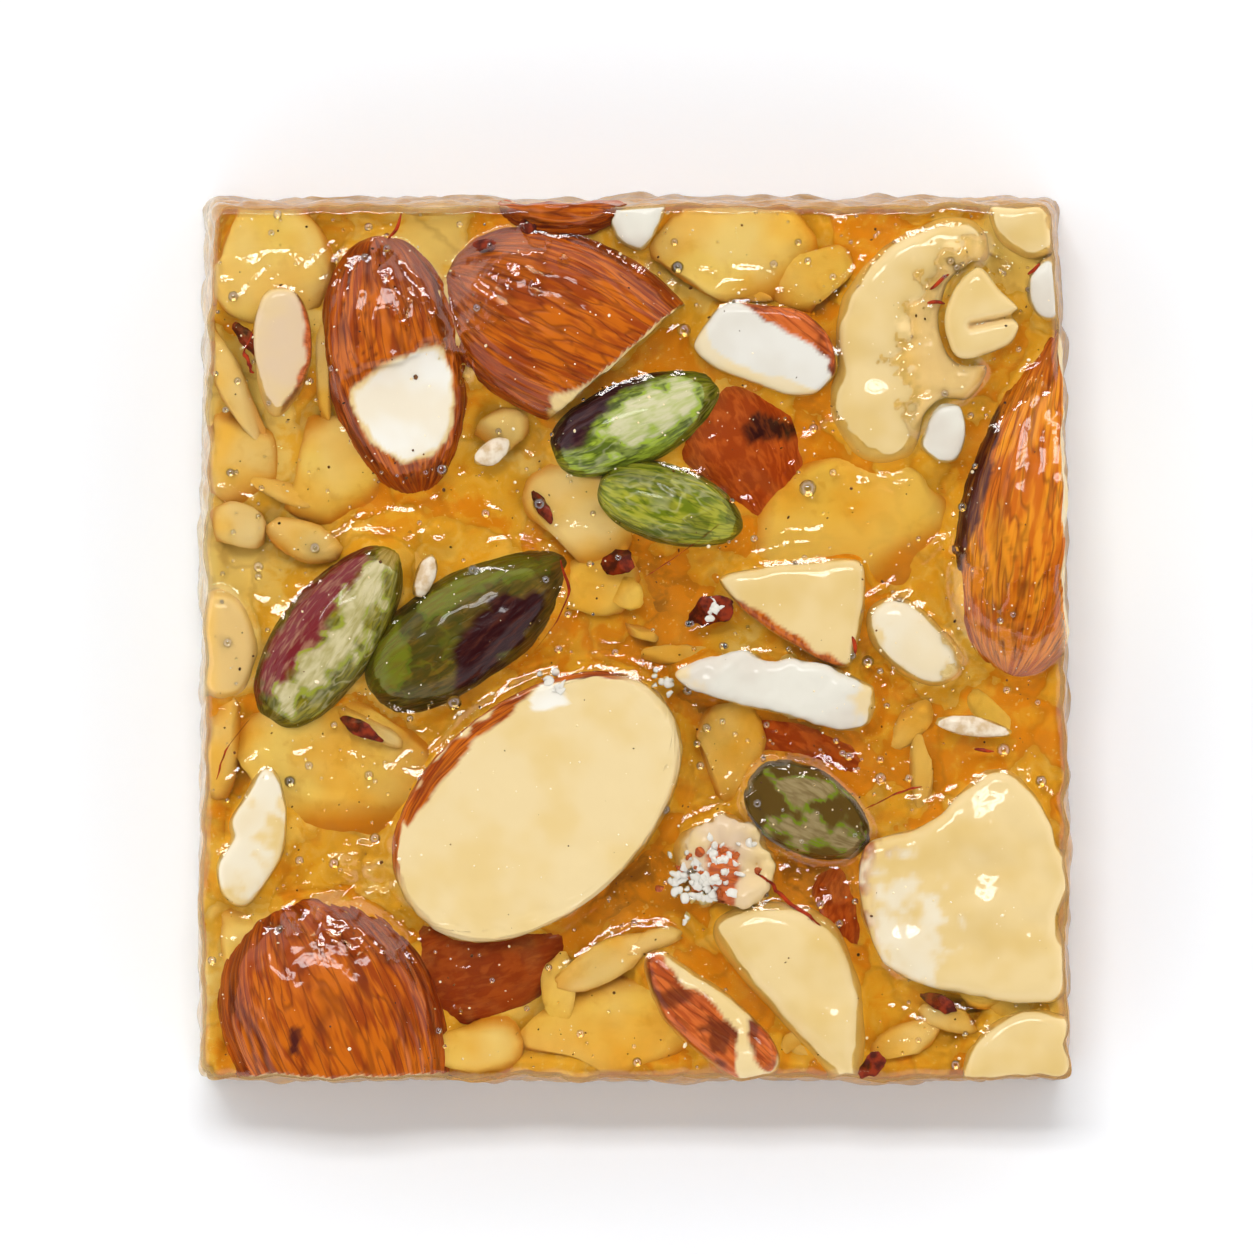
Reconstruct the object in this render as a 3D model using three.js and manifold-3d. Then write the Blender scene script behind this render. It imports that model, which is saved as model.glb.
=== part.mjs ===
// A square of dry fruit brittle: a slab of set amber sugar with almonds, cashews, pistachios and coconut
// standing a little proud of its top. Millimetres, +Z up. The origin lies under the middle of the slab, on
// the surface that it rests on. Every piece sits in a pocket of its own in the sugar.

import * as THREE from "three";
import { mergeVertices } from "three/addons/utils/BufferGeometryUtils.js";
import Module from "manifold-3d";

const wasm = await Module();
wasm.setup();

// Driving dimensions of the slab
const SLAB_WIDTH = 58.1; // along X
const SLAB_LENGTH = 59.1; // along Y
const SLAB_HEIGHT = 9.2; // to the level of the sugar's top
const CRAG = 0.34; // how far the broken sides wander in and out
const CRAG_REACH = 0.1; // how far a piece that is cut at the side may stand past it
const SWELL = 0.16; // height of the slow waves in the sugar's top
const EDGE_SLUMP = 0.55; // how far the top drops at the rim
const RIM_INSET = 0.4; // how far the sides lean in from the foot to the rim
const RIM_LEAN = 0.3; // how much more than that the +Y side does, and how much less the -Y side
const FAR_DRAW_LEFT = 0.3; // how far the left side draws in at its +Y end
const FAR_DRAW_RIGHT = 0.7; // how far the right side does
const FAR_FROM = 0.2; // share of the length, from the middle, where they start to
const SIDE_STEPS = 22; // stretches along each side
const WALL_STEPS = 4; // bands up the side

// Waves that the broken surfaces follow: radians per millimetre along each axis, the start, and the share
// that each has in the whole.
const WAVES = [
  { x: 0.31, y: 0.17, z: 0, start: 0.9, share: 1 },
  { x: -0.37, y: 0.23, z: 0, start: 2.1, share: 1 },
  { x: 1.13, y: 0, z: 0.71, start: 0.4, share: 1.2 },
  { x: 0, y: 1.31, z: -0.93, start: 1.3, share: 1.2 },
  { x: 2.3, y: 1.9, z: 1.7, start: 0, share: 1 },
];

// Driving dimensions of what it holds
const GAP = 0.3; // room between a piece and the sugar or the piece beside it
const AROUND = 12; // facets round a kernel
const ALONG = 9; // bands along a kernel
const BOXY = 0.8; // 1 makes a kernel oval across, less makes it squarer
const CORNER_STEPS = 2; // facets in a rounded corner of a piece
const RIM_STEPS = 2; // facets in the round along a piece's top rim
const BLOCK = 80; // side of the block that makes a flat cut
const WELD = 1e-4; // points nearer than this are one

const AMBER = { color: 0xb9822a, roughness: 0.15, transparent: true, opacity: 0.85 };
const SKIN = { color: 0x9c5220, roughness: 0.5 };
const BLANCHED = { color: 0xe2c7a2, roughness: 0.5 };
const IVORY = { color: 0xefdcae, roughness: 0.45 };
const WHITE = { color: 0xf0ebe0, roughness: 0.5 };
const GREEN = { color: 0x7d9040, roughness: 0.45 };

// Whole and split kernels. length, width and thickness are the kernel's own. fullness and point shape its
// two ends: a low number is blunt. at is its middle in plan, turn the way its long axis points in degrees,
// and rise how far its top stands above the sugar. roll and pitch lean it about its long and its cross axis.
// split is how much of the crown a flat face takes off. cut is an upright cut through a point, facing that
// way. chip takes a flat slice off the crown on one side of a cross line.
const ALMOND = { fullness: 0.5, point: 0.8, skin: SKIN };
const PISTACHIO = { fullness: 0.42, point: 0.55, skin: GREEN };
const KERNELS = {
  almond_blunt: {
    ...ALMOND, length: 22, width: 12.3, thickness: 7.6, at: [-2.5, 19.7], turn: -25, rise: 1.9,
    cut: { x: 2, y: 0.1, facing: -24 },
  },
  almond_split: {
    ...ALMOND, length: 21.8, width: 14.1, thickness: 9, fullness: 0.46, point: 0.5,
    at: [-6.4, -11.1], turn: 41, rise: 1.1, split: 3, roll: -3,
  },
  pistachio_upper: {
    ...PISTACHIO, length: 12, width: 5.6, thickness: 5.2,
    at: [0.2, 14.5], turn: 24, rise: 1.3,
  },
  pistachio_lower: {
    ...PISTACHIO, length: 10, width: 5.1, thickness: 5,
    at: [2.5, 8.8], turn: -17, rise: 1.6,
  },
  pistachio_left: {
    ...PISTACHIO, length: 14.2, width: 6.6, thickness: 5.8,
    at: [-20.2, 0.3], turn: 54, rise: 1.6,
  },
  pistachio_dark: {
    ...PISTACHIO, length: 15.8, width: 7.4, thickness: 6,
    at: [-11.1, 0.7], turn: 34, rise: 1.2,
  },
  pistachio_cut: {
    ...PISTACHIO, length: 8.8, width: 5.4, thickness: 5, at: [11.6, -11.6], turn: -30, rise: 0.5, split: 1.4,
  },
  almond_chipped: {
    ...ALMOND, length: 17.6, width: 9.4, thickness: 7.2, point: 0.55,
    at: [-15.9, 18.1], turn: -80, rise: 1.7, chip: { depth: 1.1, from: -0.7 },
  },
  almond_side: {
    ...ALMOND, length: 23.5, width: 10, thickness: 7.4,
    at: [26.2, 9.2], turn: 82, rise: 1.7, roll: -8,
  },
  almond_corner: {
    ...ALMOND, length: 22, width: 14.6, thickness: 7.4,
    at: [-19.1, -27.6], turn: -66, rise: 1.5,
  },
  almond_rim: {
    ...ALMOND, length: 8.6, width: 4.6, thickness: 5, point: 0.5,
    at: [-4.8, 29], turn: 0, rise: 0.6,
  },
};

// Broken and cut pieces. outline goes round the piece, measured from its own middle, and each of its corners
// is rounded off over the share soft of the edges that meet there. depth is the thickness and edge the round
// along its top rim. notch is a wedge cut out of the piece. The upper pieces lie over what they meet, and
// the lower ones under it.
const UPPER_PIECES = {
  cashew_notched: {
    skin: IVORY, at: [23.2, 21.7], rise: 1.1, depth: 3, edge: 0.35, soft: 0.3,
    outline: [
      [-1.9, 2], [-0.1, 3.5], [1, 1.7], [2.6, 0.4], [2.7, -0.5], [1.9, -2.2], [-1.8, -3.4],
      [-2.7, -0.4],
    ],
    notch: [
      [-0.6, -0.6], [3.6, -0.6], [3.4, 0.6],
    ],
  },
  coconut_bit: {
    skin: WHITE, at: [20.7, 13.7], rise: 0.6, depth: 3, edge: 0.3, soft: 0.25,
    outline: [
      [-0.1, 2.2], [1.2, 1.9], [1.5, 0], [0.9, -1.9], [-0.2, -2.1], [-1.7, -0.9], [-1, 1.3],
    ],
  },
  almond_wedge: {
    skin: WHITE, at: [8.6, 19.4], rise: 0.9, depth: 4.4, edge: 0.4, soft: 0.25,
    outline: [
      [-2.7, 3.2], [0.1, 2.9], [2.6, 2.6], [4.5, 1], [5, -1.6], [3.5, -3.1], [1.8, -3.2],
      [-3.4, -1.3], [-4.9, 0.1],
    ],
  },
  coconut_strip: {
    skin: WHITE, at: [9.4, -3.3], rise: 1, depth: 3.6, edge: 0.4, soft: 0.25, pitch: 3,
    outline: [
      [-7, 1.1], [-4.7, 2], [-2, 2.8], [-0.5, 1.6], [1, 2.2], [4.3, 1.2], [7.1, 0.1], [6.3, -2.7],
      [4.4, -2.8], [-2.3, -0.9], [-5.9, 0],
    ],
  },
  cashew_triangle: {
    skin: IVORY, at: [11.1, 2.2], rise: 0.6, depth: 4, edge: 0.4, soft: 0.2, roll: 2,
    outline: [
      [-5.8, 2], [-2.7, 2.6], [4.3, 3.3], [4.2, -0.3], [3.4, -4.3], [2.3, -4.3], [-3.7, -0.6],
    ],
  },
  cashew_block: {
    skin: IVORY, at: [22.1, -16.8], rise: 0.9, depth: 6.2, edge: 0.6, soft: 0.3, pitch: 2,
    outline: [
      [-6.8, 3.2], [-4, 3.9], [-1.4, 5], [1, 8], [2.9, 8.3], [5.2, 6.2], [7.1, 0.7], [6, -2],
      [6.7, -4.7], [6.4, -7.5], [2.3, -7.5], [-5.8, -5.2], [-7, 0.3],
    ],
  },
  cashew_hook: {
    skin: IVORY, at: [10.7, -23.5], rise: 0.8, depth: 5.6, edge: 1.3, soft: 0.45,
    outline: [
      [-6.8, 4.6], [-3.7, 5.9], [0, 6.1], [3, 4.6], [4.8, 0], [4.7, -6.2], [3.1, -6.4], [1.3, -4.4],
      [-1.9, -0.9],
    ],
  },
  almond_torn: {
    skin: BLANCHED, at: [4.9, -24.8], rise: 0.7, depth: 4.6, edge: 0.7, soft: 0.4, roll: -4,
    outline: [
      [-4.5, 3.6], [-3.4, 4.6], [-1.8, 3.4], [2.5, 0.4], [4.4, -1.7], [5.2, -3.5], [3.9, -4.4],
      [1.7, -4.6], [-2.5, -1], [-4, 1.4],
    ],
  },
};
const LOWER_PIECES = {
  cashew_half: {
    skin: IVORY, at: [18.1, 19.9], rise: 0.5, depth: 5.2, edge: 1, soft: 0.45,
    outline: [
      [2.6, 8.7], [6, 7.7], [5.2, 4], [6.2, 0], [4.8, -4], [1.6, -4.8], [0.6, -7.8], [-2.8, -8.7],
      [-5.1, -5.6], [-5.2, 0.6], [-3.2, 5.2],
    ],
  },
  cashew_tip: {
    skin: IVORY, at: [18.7, -0.1], rise: 0.7, depth: 5, edge: 0.9, soft: 0.45,
    outline: [
      [-2.9, 2.7], [-0.6, 3.2], [1.2, 1.6], [3.7, -1.1], [2.9, -2.5], [1.4, -3.4], [-0.8, -2.3],
      [-3, -0.3], [-3.5, 1.3],
    ],
  },
  almond_slice: {
    skin: BLANCHED, at: [-23.5, 18.9], rise: 0.5, depth: 2.2, edge: 0.3, soft: 0.35, roll: 6,
    outline: [
      [-1.2, 4.4], [0.8, 4.6], [1.9, 2.6], [2.1, 0], [1.5, -2.4], [-0.5, -4.8], [-1.5, -2.7],
      [-2, 0.2], [-1.8, 2.4],
    ],
  },
  cashew_sliver: {
    skin: IVORY, at: [-25.3, -13.1], rise: 0.6, depth: 4, edge: 0.5, soft: 0.3,
    outline: [
      [0.5, 5], [1.6, 4.4], [2.3, 1.7], [2.2, -1.2], [-0.7, -5.2], [-2.4, -3.9], [-2.5, -1.6],
      [-1.1, 0], [-1.9, 0.7], [-0.8, 2.5],
    ],
  },
  almond_crumbs: {
    skin: WHITE, at: [6.1, -15.1], rise: 0.6, depth: 3.2, edge: 0.6, soft: 0.45,
    outline: [
      [-2.4, 2.6], [-0.3, 3.6], [1.9, 3.1], [3.3, 1], [2.9, -1.2], [1, -3], [-0.8, -3.6],
      [-2.6, -2.2], [-3.3, 0.3],
    ],
  },
  cashew_left: {
    skin: IVORY, at: [-27.1, -0.1], rise: 0.2, depth: 4.4, edge: 0.8, soft: 0.4,
    outline: [
      [-2.1, 3.4], [0.6, 3.4], [1.9, 1], [2.2, -1.3], [1, -4], [-2.2, -3.8],
    ],
  },
  coconut_rim: {
    skin: WHITE, at: [0.3, 27.6], rise: 0.4, depth: 3.4, edge: 0.4, soft: 0.3,
    outline: [
      [-1.4, 2.3], [2.2, 2.3], [1.2, -0.5], [0.3, -1.9], [-1.4, -1.2], [-2, 0.1],
    ],
  },
  coconut_side: {
    skin: WHITE, at: [27.4, 23.5], rise: 0.5, depth: 3.6, edge: 0.3, soft: 0.3,
    outline: [
      [0.7, 2.5], [1.9, 2.5], [1.9, -2.2], [-0.3, -2.3], [-1.3, -0.7], [-0.9, 1.1],
    ],
  },
  cashew_top_corner: {
    skin: IVORY, at: [26.1, 27.3], rise: 0.3, depth: 4.2, edge: 0.5, soft: 0.25,
    outline: [
      [-2.7, 2.4], [3.2, 2.4], [3.2, -0.6], [1.4, -2], [-0.5, -1.7], [-2.2, -0.7],
    ],
  },
  cashew_foot_corner: {
    skin: IVORY, at: [25.4, -27.3], rise: 0.4, depth: 5, edge: 0.5, soft: 0.25,
    outline: [
      [-1, 2.2], [1, 2.8], [4, 2.2], [4, -2.7], [-3.7, -2.7], [-3.3, -0.1],
    ],
  },
};

// A closed skin over rings of points, from a first pole to a last one. The rings run anticlockwise as seen
// from the last pole.
function closeRings(rings, firstPole, lastPole) {
  const count = rings[0].length;
  const points = [firstPole, ...rings.flat(), lastPole];
  const last = points.length - 1;
  const at = (ring, i) => 1 + ring * count + (i % count);
  const faces = [];
  for (let i = 0; i < count; i++) {
    faces.push(0, at(0, i + 1), at(0, i));
    for (let ring = 0; ring < rings.length - 1; ring++) {
      faces.push(at(ring, i), at(ring, i + 1), at(ring + 1, i + 1));
      faces.push(at(ring, i), at(ring + 1, i + 1), at(ring + 1, i));
    }
    faces.push(last, at(rings.length - 1, i), at(rings.length - 1, i + 1));
  }
  return new THREE.BufferGeometry().setFromPoints(points).setIndex(faces);
}

// A geometry as a solid, and a solid back as a geometry.
function toSolid(geometry) {
  const bare = new THREE.BufferGeometry().setAttribute("position", geometry.getAttribute("position"));
  const merged = mergeVertices(bare.setIndex(geometry.index), WELD);
  const vertProperties = new Float32Array(merged.getAttribute("position").array);
  const triVerts = new Uint32Array(merged.index.array);
  return new wasm.Manifold(new wasm.Mesh({ numProp: 3, vertProperties, triVerts }));
}

function toGeometry(solid) {
  const mesh = solid.getMesh();
  const geometry = new THREE.BufferGeometry();
  geometry.setAttribute("position", new THREE.BufferAttribute(new Float32Array(mesh.vertProperties), 3));
  geometry.setIndex(new THREE.BufferAttribute(new Uint32Array(mesh.triVerts), 1));
  geometry.computeVertexNormals();
  return geometry;
}

// The largest body of a solid, so that a cut leaves no loose scrap.
function largest(solid) {
  return solid.decompose().reduce((a, b) => (b.volume() > a.volume() ? b : a));
}

// A block with its middle set off from a point, so that one of its faces lies on a flat cut.
function block(x, y, z, facing = 0) {
  const geometry = new THREE.BoxGeometry(BLOCK, BLOCK, BLOCK);
  return toSolid(geometry.rotateZ(THREE.MathUtils.degToRad(facing)).translate(x, y, z));
}

// A share of a kernel's half width or thickness, drawn out towards the corners of its section.
function boxy(share) {
  return Math.sign(share) * Math.abs(share) ** BOXY;
}

// A kernel lies along X with its crown at z = 0. Its half width follows t^fullness (1 - t)^point.
function kernelSolid(spec, grow) {
  const { length, width, thickness, fullness, point, split = 0, cut, chip } = spec;
  const widest = fullness / (fullness + point);
  const swell = (t) => (t ** fullness * (1 - t) ** point) / (widest ** fullness * (1 - widest) ** point);
  const middle = split - thickness / 2;
  const reach = length / 2 + grow;
  const rings = [];
  for (let i = 1; i < ALONG; i++) {
    const t = (1 - Math.cos((Math.PI * i) / ALONG)) / 2;
    const halfWidth = (width / 2 + grow) * swell(t);
    const halfThickness = (thickness / 2 + grow) * swell(t);
    rings.push(
      Array.from({ length: AROUND }, (_, k) => {
        const angle = (2 * Math.PI * (k + 0.5)) / AROUND;
        const across = boxy(Math.cos(angle));
        const up = boxy(Math.sin(angle));
        return new THREE.Vector3(reach * (2 * t - 1), halfWidth * across, middle + halfThickness * up);
      }),
    );
  }
  const poles = [-reach, reach].map((x) => new THREE.Vector3(x, 0, middle));
  let solid = toSolid(closeRings(rings, ...poles));
  if (split) solid = solid.subtract(block(0, 0, BLOCK / 2 + grow));
  if (cut) {
    const facing = THREE.MathUtils.degToRad(cut.facing);
    const away = BLOCK / 2 + grow;
    const x = cut.x + away * Math.cos(facing);
    const y = cut.y + away * Math.sin(facing);
    solid = solid.subtract(block(x, y, 0, cut.facing));
  }
  if (chip) solid = solid.subtract(block(chip.from + BLOCK / 2, 0, BLOCK / 2 - chip.depth + grow));
  return solid;
}

// The outline of a piece: straight edges that meet in rounded corners, anticlockwise.
function roundedOutline(outline, soft) {
  const corners = outline.map(([x, y]) => new THREE.Vector2(x, y));
  const shape = new THREE.Shape();
  corners.forEach((corner, i) => {
    const before = corners[(i + corners.length - 1) % corners.length];
    const after = corners[(i + 1) % corners.length];
    const enter = corner.clone().lerp(before, soft);
    const leave = corner.clone().lerp(after, soft);
    if (i) shape.lineTo(enter.x, enter.y);
    else shape.moveTo(enter.x, enter.y);
    shape.quadraticCurveTo(corner.x, corner.y, leave.x, leave.y);
  });
  const points = shape.getPoints(CORNER_STEPS);
  return THREE.ShapeUtils.isClockWise(points) ? points.reverse() : points;
}

// A piece has its flat top at z = 0. Its rims are rounded by drawing the outline in along its own normals.
function pieceSolid({ outline, soft, depth, edge, notch }, grow) {
  const around = roundedOutline(outline, soft);
  const normals = around.map((_, i) => {
    const along = around[(i + 1) % around.length].clone().sub(around.at(i - 1));
    return new THREE.Vector2(along.y, -along.x).normalize();
  });
  const ring = (inset, z) =>
    around.map((point, i) => {
      const { x, y } = point.clone().addScaledVector(normals[i], grow - inset);
      return new THREE.Vector3(x, y, z);
    });
  const rings = [ring(0, -depth - grow)];
  for (let k = 0; k <= RIM_STEPS; k++) {
    const angle = (Math.PI * k) / (2 * RIM_STEPS);
    rings.push(ring(edge * (1 - Math.cos(angle)), grow + edge * (Math.sin(angle) - 1)));
  }
  const count = around.length;
  const lid = THREE.ShapeUtils.triangulateShape(around, []).flat();
  const top = (rings.length - 1) * count;
  const faces = [...lid.map((i) => i + top), ...lid.toReversed()];
  for (let k = 0; k < rings.length - 1; k++) {
    for (let i = 0; i < count; i++) {
      const here = k * count + i;
      const next = k * count + ((i + 1) % count);
      faces.push(here, next, next + count, here, next + count, here + count);
    }
  }
  const solid = toSolid(new THREE.BufferGeometry().setFromPoints(rings.flat()).setIndex(faces));
  if (!notch || grow) return solid;
  const wedge = new THREE.Shape(notch.map(([x, y]) => new THREE.Vector2(x, y)));
  const prism = new THREE.ExtrudeGeometry(wedge, { depth: BLOCK, bevelEnabled: false });
  return solid.subtract(toSolid(prism.translate(0, 0, -BLOCK / 2)));
}

// How far the broken surfaces stray at a point, between -1 and 1.
function wander(x, y, z) {
  const total = WAVES.reduce((sum, wave) => sum + wave.share, 0);
  const height = (wave) => wave.share * Math.sin(wave.x * x + wave.y * y + wave.z * z + wave.start);
  return WAVES.reduce((sum, wave) => sum + height(wave), 0) / total;
}

// The place across the slab of a point x, once the sides have drawn in towards the +Y end.
function drawnIn(x, y) {
  const share = Math.max(0, (y / SLAB_LENGTH - FAR_FROM) / (0.5 - FAR_FROM));
  const draw = x > 0 ? FAR_DRAW_RIGHT : FAR_DRAW_LEFT;
  return x * (1 - (2 * share * draw) / SLAB_WIDTH);
}

// What is left of the slab's width and length at a height, as its sides lean in from the foot.
function leanedIn(y, z) {
  const inset = RIM_INSET + (2 * RIM_LEAN * y) / SLAB_LENGTH;
  return 1 - (2 * inset * z) / (SLAB_HEIGHT * SLAB_WIDTH);
}

// The slab: sides that wander and lean in, a top in slow waves that slumps at the rim, and a flat foot.
function slabSolid() {
  const size = [SLAB_WIDTH, SLAB_LENGTH, SLAB_HEIGHT];
  const geometry = new THREE.BoxGeometry(...size, SIDE_STEPS, SIDE_STEPS, WALL_STEPS);
  const points = geometry.translate(0, 0, SLAB_HEIGHT / 2).getAttribute("position");
  const point = new THREE.Vector3();
  for (let i = 0; i < points.count; i++) {
    point.fromBufferAttribute(points, i);
    const { x, y, z } = point;
    const share = z / SLAB_HEIGHT;
    const out = Math.max((2 * Math.abs(x)) / SLAB_WIDTH, (2 * Math.abs(y)) / SLAB_LENGTH);
    const onSide = out > 1 - WELD;
    const push = onSide ? CRAG * wander(x, y, z) : 0;
    const lift = SWELL * wander(y, x, 0) - (onSide ? EDGE_SLUMP : 0);
    const grown = (1 + (2 * push) / SLAB_WIDTH) * (onSide ? leanedIn(y, z) : 1);
    points.setXYZ(i, drawnIn(x, y) * grown, y * grown, z + share * lift);
  }
  return toSolid(geometry);
}

// The prism that the knife leaves, leaning as the sides do: nothing stands further out than this.
function knifeSolid() {
  const width = SLAB_WIDTH + 2 * CRAG_REACH;
  const length = SLAB_LENGTH + 2 * CRAG_REACH;
  const geometry = new THREE.BoxGeometry(width, length, BLOCK, 1, SIDE_STEPS, 1);
  const points = geometry.getAttribute("position");
  const point = new THREE.Vector3();
  for (let i = 0; i < points.count; i++) {
    const { x, y, z } = point.fromBufferAttribute(points, i);
    const left = leanedIn(y, z);
    points.setXYZ(i, drawnIn(x, y) * left, y * left, z);
  }
  return toSolid(geometry);
}

// A piece's mesh, turned about its upright axis after it is leaned.
function placedMesh(name, { at, turn = 0, roll = 0, pitch = 0, rise, skin }) {
  const mesh = new THREE.Mesh(undefined, new THREE.MeshStandardMaterial({ metalness: 0, ...skin }));
  const radians = [roll, pitch, turn].map(THREE.MathUtils.degToRad);
  mesh.name = name;
  mesh.rotation.set(...radians, "ZYX");
  mesh.position.set(at[0], at[1], SLAB_HEIGHT + rise);
  mesh.updateMatrix();
  return mesh;
}

// Pieces are set in the order of the lists. Each one gives way to those set before it, and the sugar to all.
const brittle = new THREE.Group();
brittle.name = "dry_fruit_brittle";
const knife = knifeSolid();
const pockets = [];
const setPiece = (name, spec, makeSolid) => {
  const mesh = placedMesh(name, spec);
  const inPlace = (grow) => makeSolid(spec, grow).transform(mesh.matrix.elements);
  let solid = inPlace(0).intersect(knife);
  for (const pocket of pockets) solid = solid.subtract(pocket);
  const back = mesh.matrix.clone().invert().elements;
  mesh.geometry = toGeometry(largest(solid).transform(back));
  pockets.push(inPlace(GAP));
  brittle.add(mesh);
};
Object.entries(UPPER_PIECES).forEach(([name, spec]) => setPiece(name, spec, pieceSolid));
Object.entries(KERNELS).forEach(([name, spec]) => setPiece(name, spec, kernelSolid));
Object.entries(LOWER_PIECES).forEach(([name, spec]) => setPiece(name, spec, pieceSolid));

const sugar = new THREE.Mesh(undefined, new THREE.MeshStandardMaterial({ metalness: 0, ...AMBER }));
sugar.name = "sugar_slab";
sugar.geometry = toGeometry(largest(pockets.reduce((slab, pocket) => slab.subtract(pocket), slabSolid())));
brittle.add(sugar);

// The sides wander, so the whole is moved until its own box is centred over the origin.
const middle = new THREE.Box3().setFromObject(brittle, true).getCenter(new THREE.Vector3());
brittle.position.set(-middle.x, -middle.y, 0);

export default brittle;
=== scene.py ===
import math

import bmesh
import bpy
import numpy as np
from mathutils import Euler, Matrix, Vector


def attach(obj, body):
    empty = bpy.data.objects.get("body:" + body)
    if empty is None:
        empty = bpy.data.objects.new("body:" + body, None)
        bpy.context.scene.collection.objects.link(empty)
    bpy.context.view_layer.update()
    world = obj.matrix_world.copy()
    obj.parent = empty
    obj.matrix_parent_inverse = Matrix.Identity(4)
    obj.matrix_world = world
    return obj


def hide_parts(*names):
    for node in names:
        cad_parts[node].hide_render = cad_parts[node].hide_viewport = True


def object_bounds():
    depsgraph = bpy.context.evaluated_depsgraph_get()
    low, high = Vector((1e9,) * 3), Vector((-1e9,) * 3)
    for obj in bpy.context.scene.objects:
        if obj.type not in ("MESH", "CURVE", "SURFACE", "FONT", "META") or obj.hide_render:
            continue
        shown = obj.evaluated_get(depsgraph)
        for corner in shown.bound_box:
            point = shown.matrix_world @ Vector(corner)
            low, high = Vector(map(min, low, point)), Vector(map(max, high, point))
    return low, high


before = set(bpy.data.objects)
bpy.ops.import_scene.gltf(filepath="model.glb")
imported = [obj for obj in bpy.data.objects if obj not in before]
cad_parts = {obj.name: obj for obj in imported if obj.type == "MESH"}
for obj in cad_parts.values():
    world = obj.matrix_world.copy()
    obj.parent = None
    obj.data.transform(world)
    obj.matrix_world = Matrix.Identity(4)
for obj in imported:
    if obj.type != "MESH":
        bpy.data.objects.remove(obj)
cad_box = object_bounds()

bl_info = {
    "name": "Dry fruit brittle",
    "version": (1, 0, 0),
    "blender": (4, 5, 0),
    "location": "3D View > Sidebar > Brittle",
    "description": "Dresses a square of nut brittle: clear amber sugar with nuts and coconut set in it",
    "category": "Object",
}

MM = 0.001
BODY = "root"

# The slab, in millimetres, from its own middle
SLAB_WIDTH = 58.1
SLAB_LENGTH = 59.1
SLAB_HEIGHT = 9.2
SLAB_MIDDLE = np.array([-0.03, 0.06, 0.0])
CRAG = 0.34
SWELL = 0.16
EDGE_SLUMP = 0.55
RIM_INSET = 0.4
RIM_LEAN = 0.3
FAR_DRAW = {"left": 0.3, "right": 0.7}
FAR_FROM = 0.2
CORNER = 1.1

# How square a kernel's section is, from 1 for round
BOXY = 0.8

# Slow waves of the broken surfaces: radians per millimetre along x, y and z, start, share
WAVES = [
    (0.31, 0.17, 0.0, 0.9, 1.0),
    (-0.37, 0.23, 0.0, 2.1, 1.0),
    (1.13, 0.0, 0.71, 0.4, 1.2),
    (0.0, 1.31, -0.93, 1.3, 1.2),
    (2.3, 1.9, 1.7, 0.0, 1.0),
]

ALMOND = dict(fullness=0.5, point=0.8, kind="almond")
PISTACHIO = dict(fullness=0.42, point=0.55, kind="pistachio")

# Whole and split kernels, each standing for the solid of its name: own sizes, place, turn and lean
KERNELS = {
    "almond_blunt": dict(ALMOND, length=22, width=12.3, thickness=7.6, at=(-2.5, 19.7), turn=-25, rise=1.9,
                         cut=(2, 0.1, -24)),
    "almond_split": dict(ALMOND, length=21.8, width=14.1, thickness=9, fullness=0.46, point=0.5,
                         at=(-6.4, -11.1), turn=41, rise=1.1, split=3, roll=-3, peel=(-0.66, 0.75, 2.6)),
    "almond_chipped": dict(ALMOND, length=17.6, width=9.4, thickness=7.2, point=0.55, at=(-15.9, 18.1),
                           turn=-80, rise=1.7, chip=(1.1, -0.7)),
    "almond_side": dict(ALMOND, length=23.5, width=10, thickness=7.4, at=(26.2, 9.2), turn=82, rise=1.7, roll=-8,
                        look="amber"),
    "almond_corner": dict(ALMOND, length=22, width=14.6, thickness=7.4, at=(-19.1, -27.6), turn=-66, rise=1.5,
                          covered=True),
    "almond_rim": dict(ALMOND, length=8.6, width=4.6, thickness=5, point=0.5, at=(-4.8, 29), turn=0, rise=0.6,
                       skinned=True),
    "pistachio_upper": dict(PISTACHIO, length=12, width=5.6, thickness=5.2, at=(0.2, 14.5), turn=24, rise=1.3,
                            look="rimmed"),
    "pistachio_lower": dict(PISTACHIO, length=10, width=5.1, thickness=5, at=(2.5, 8.8), turn=-17, rise=1.6,
                            look="bright"),
    "pistachio_left": dict(PISTACHIO, length=14.2, width=6.6, thickness=5.8, at=(-20.2, 0.3), turn=54, rise=1.6,
                           look="purple"),
    "pistachio_dark": dict(PISTACHIO, length=15.8, width=7.4, thickness=6, at=(-11.1, 0.7), turn=34, rise=1.2,
                           look="dusky"),
    "pistachio_cut": dict(PISTACHIO, length=8.8, width=5.4, thickness=5, at=(11.6, -11.6), turn=-30, rise=0.5,
                          split=1.4, look="cut"),
}

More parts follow.
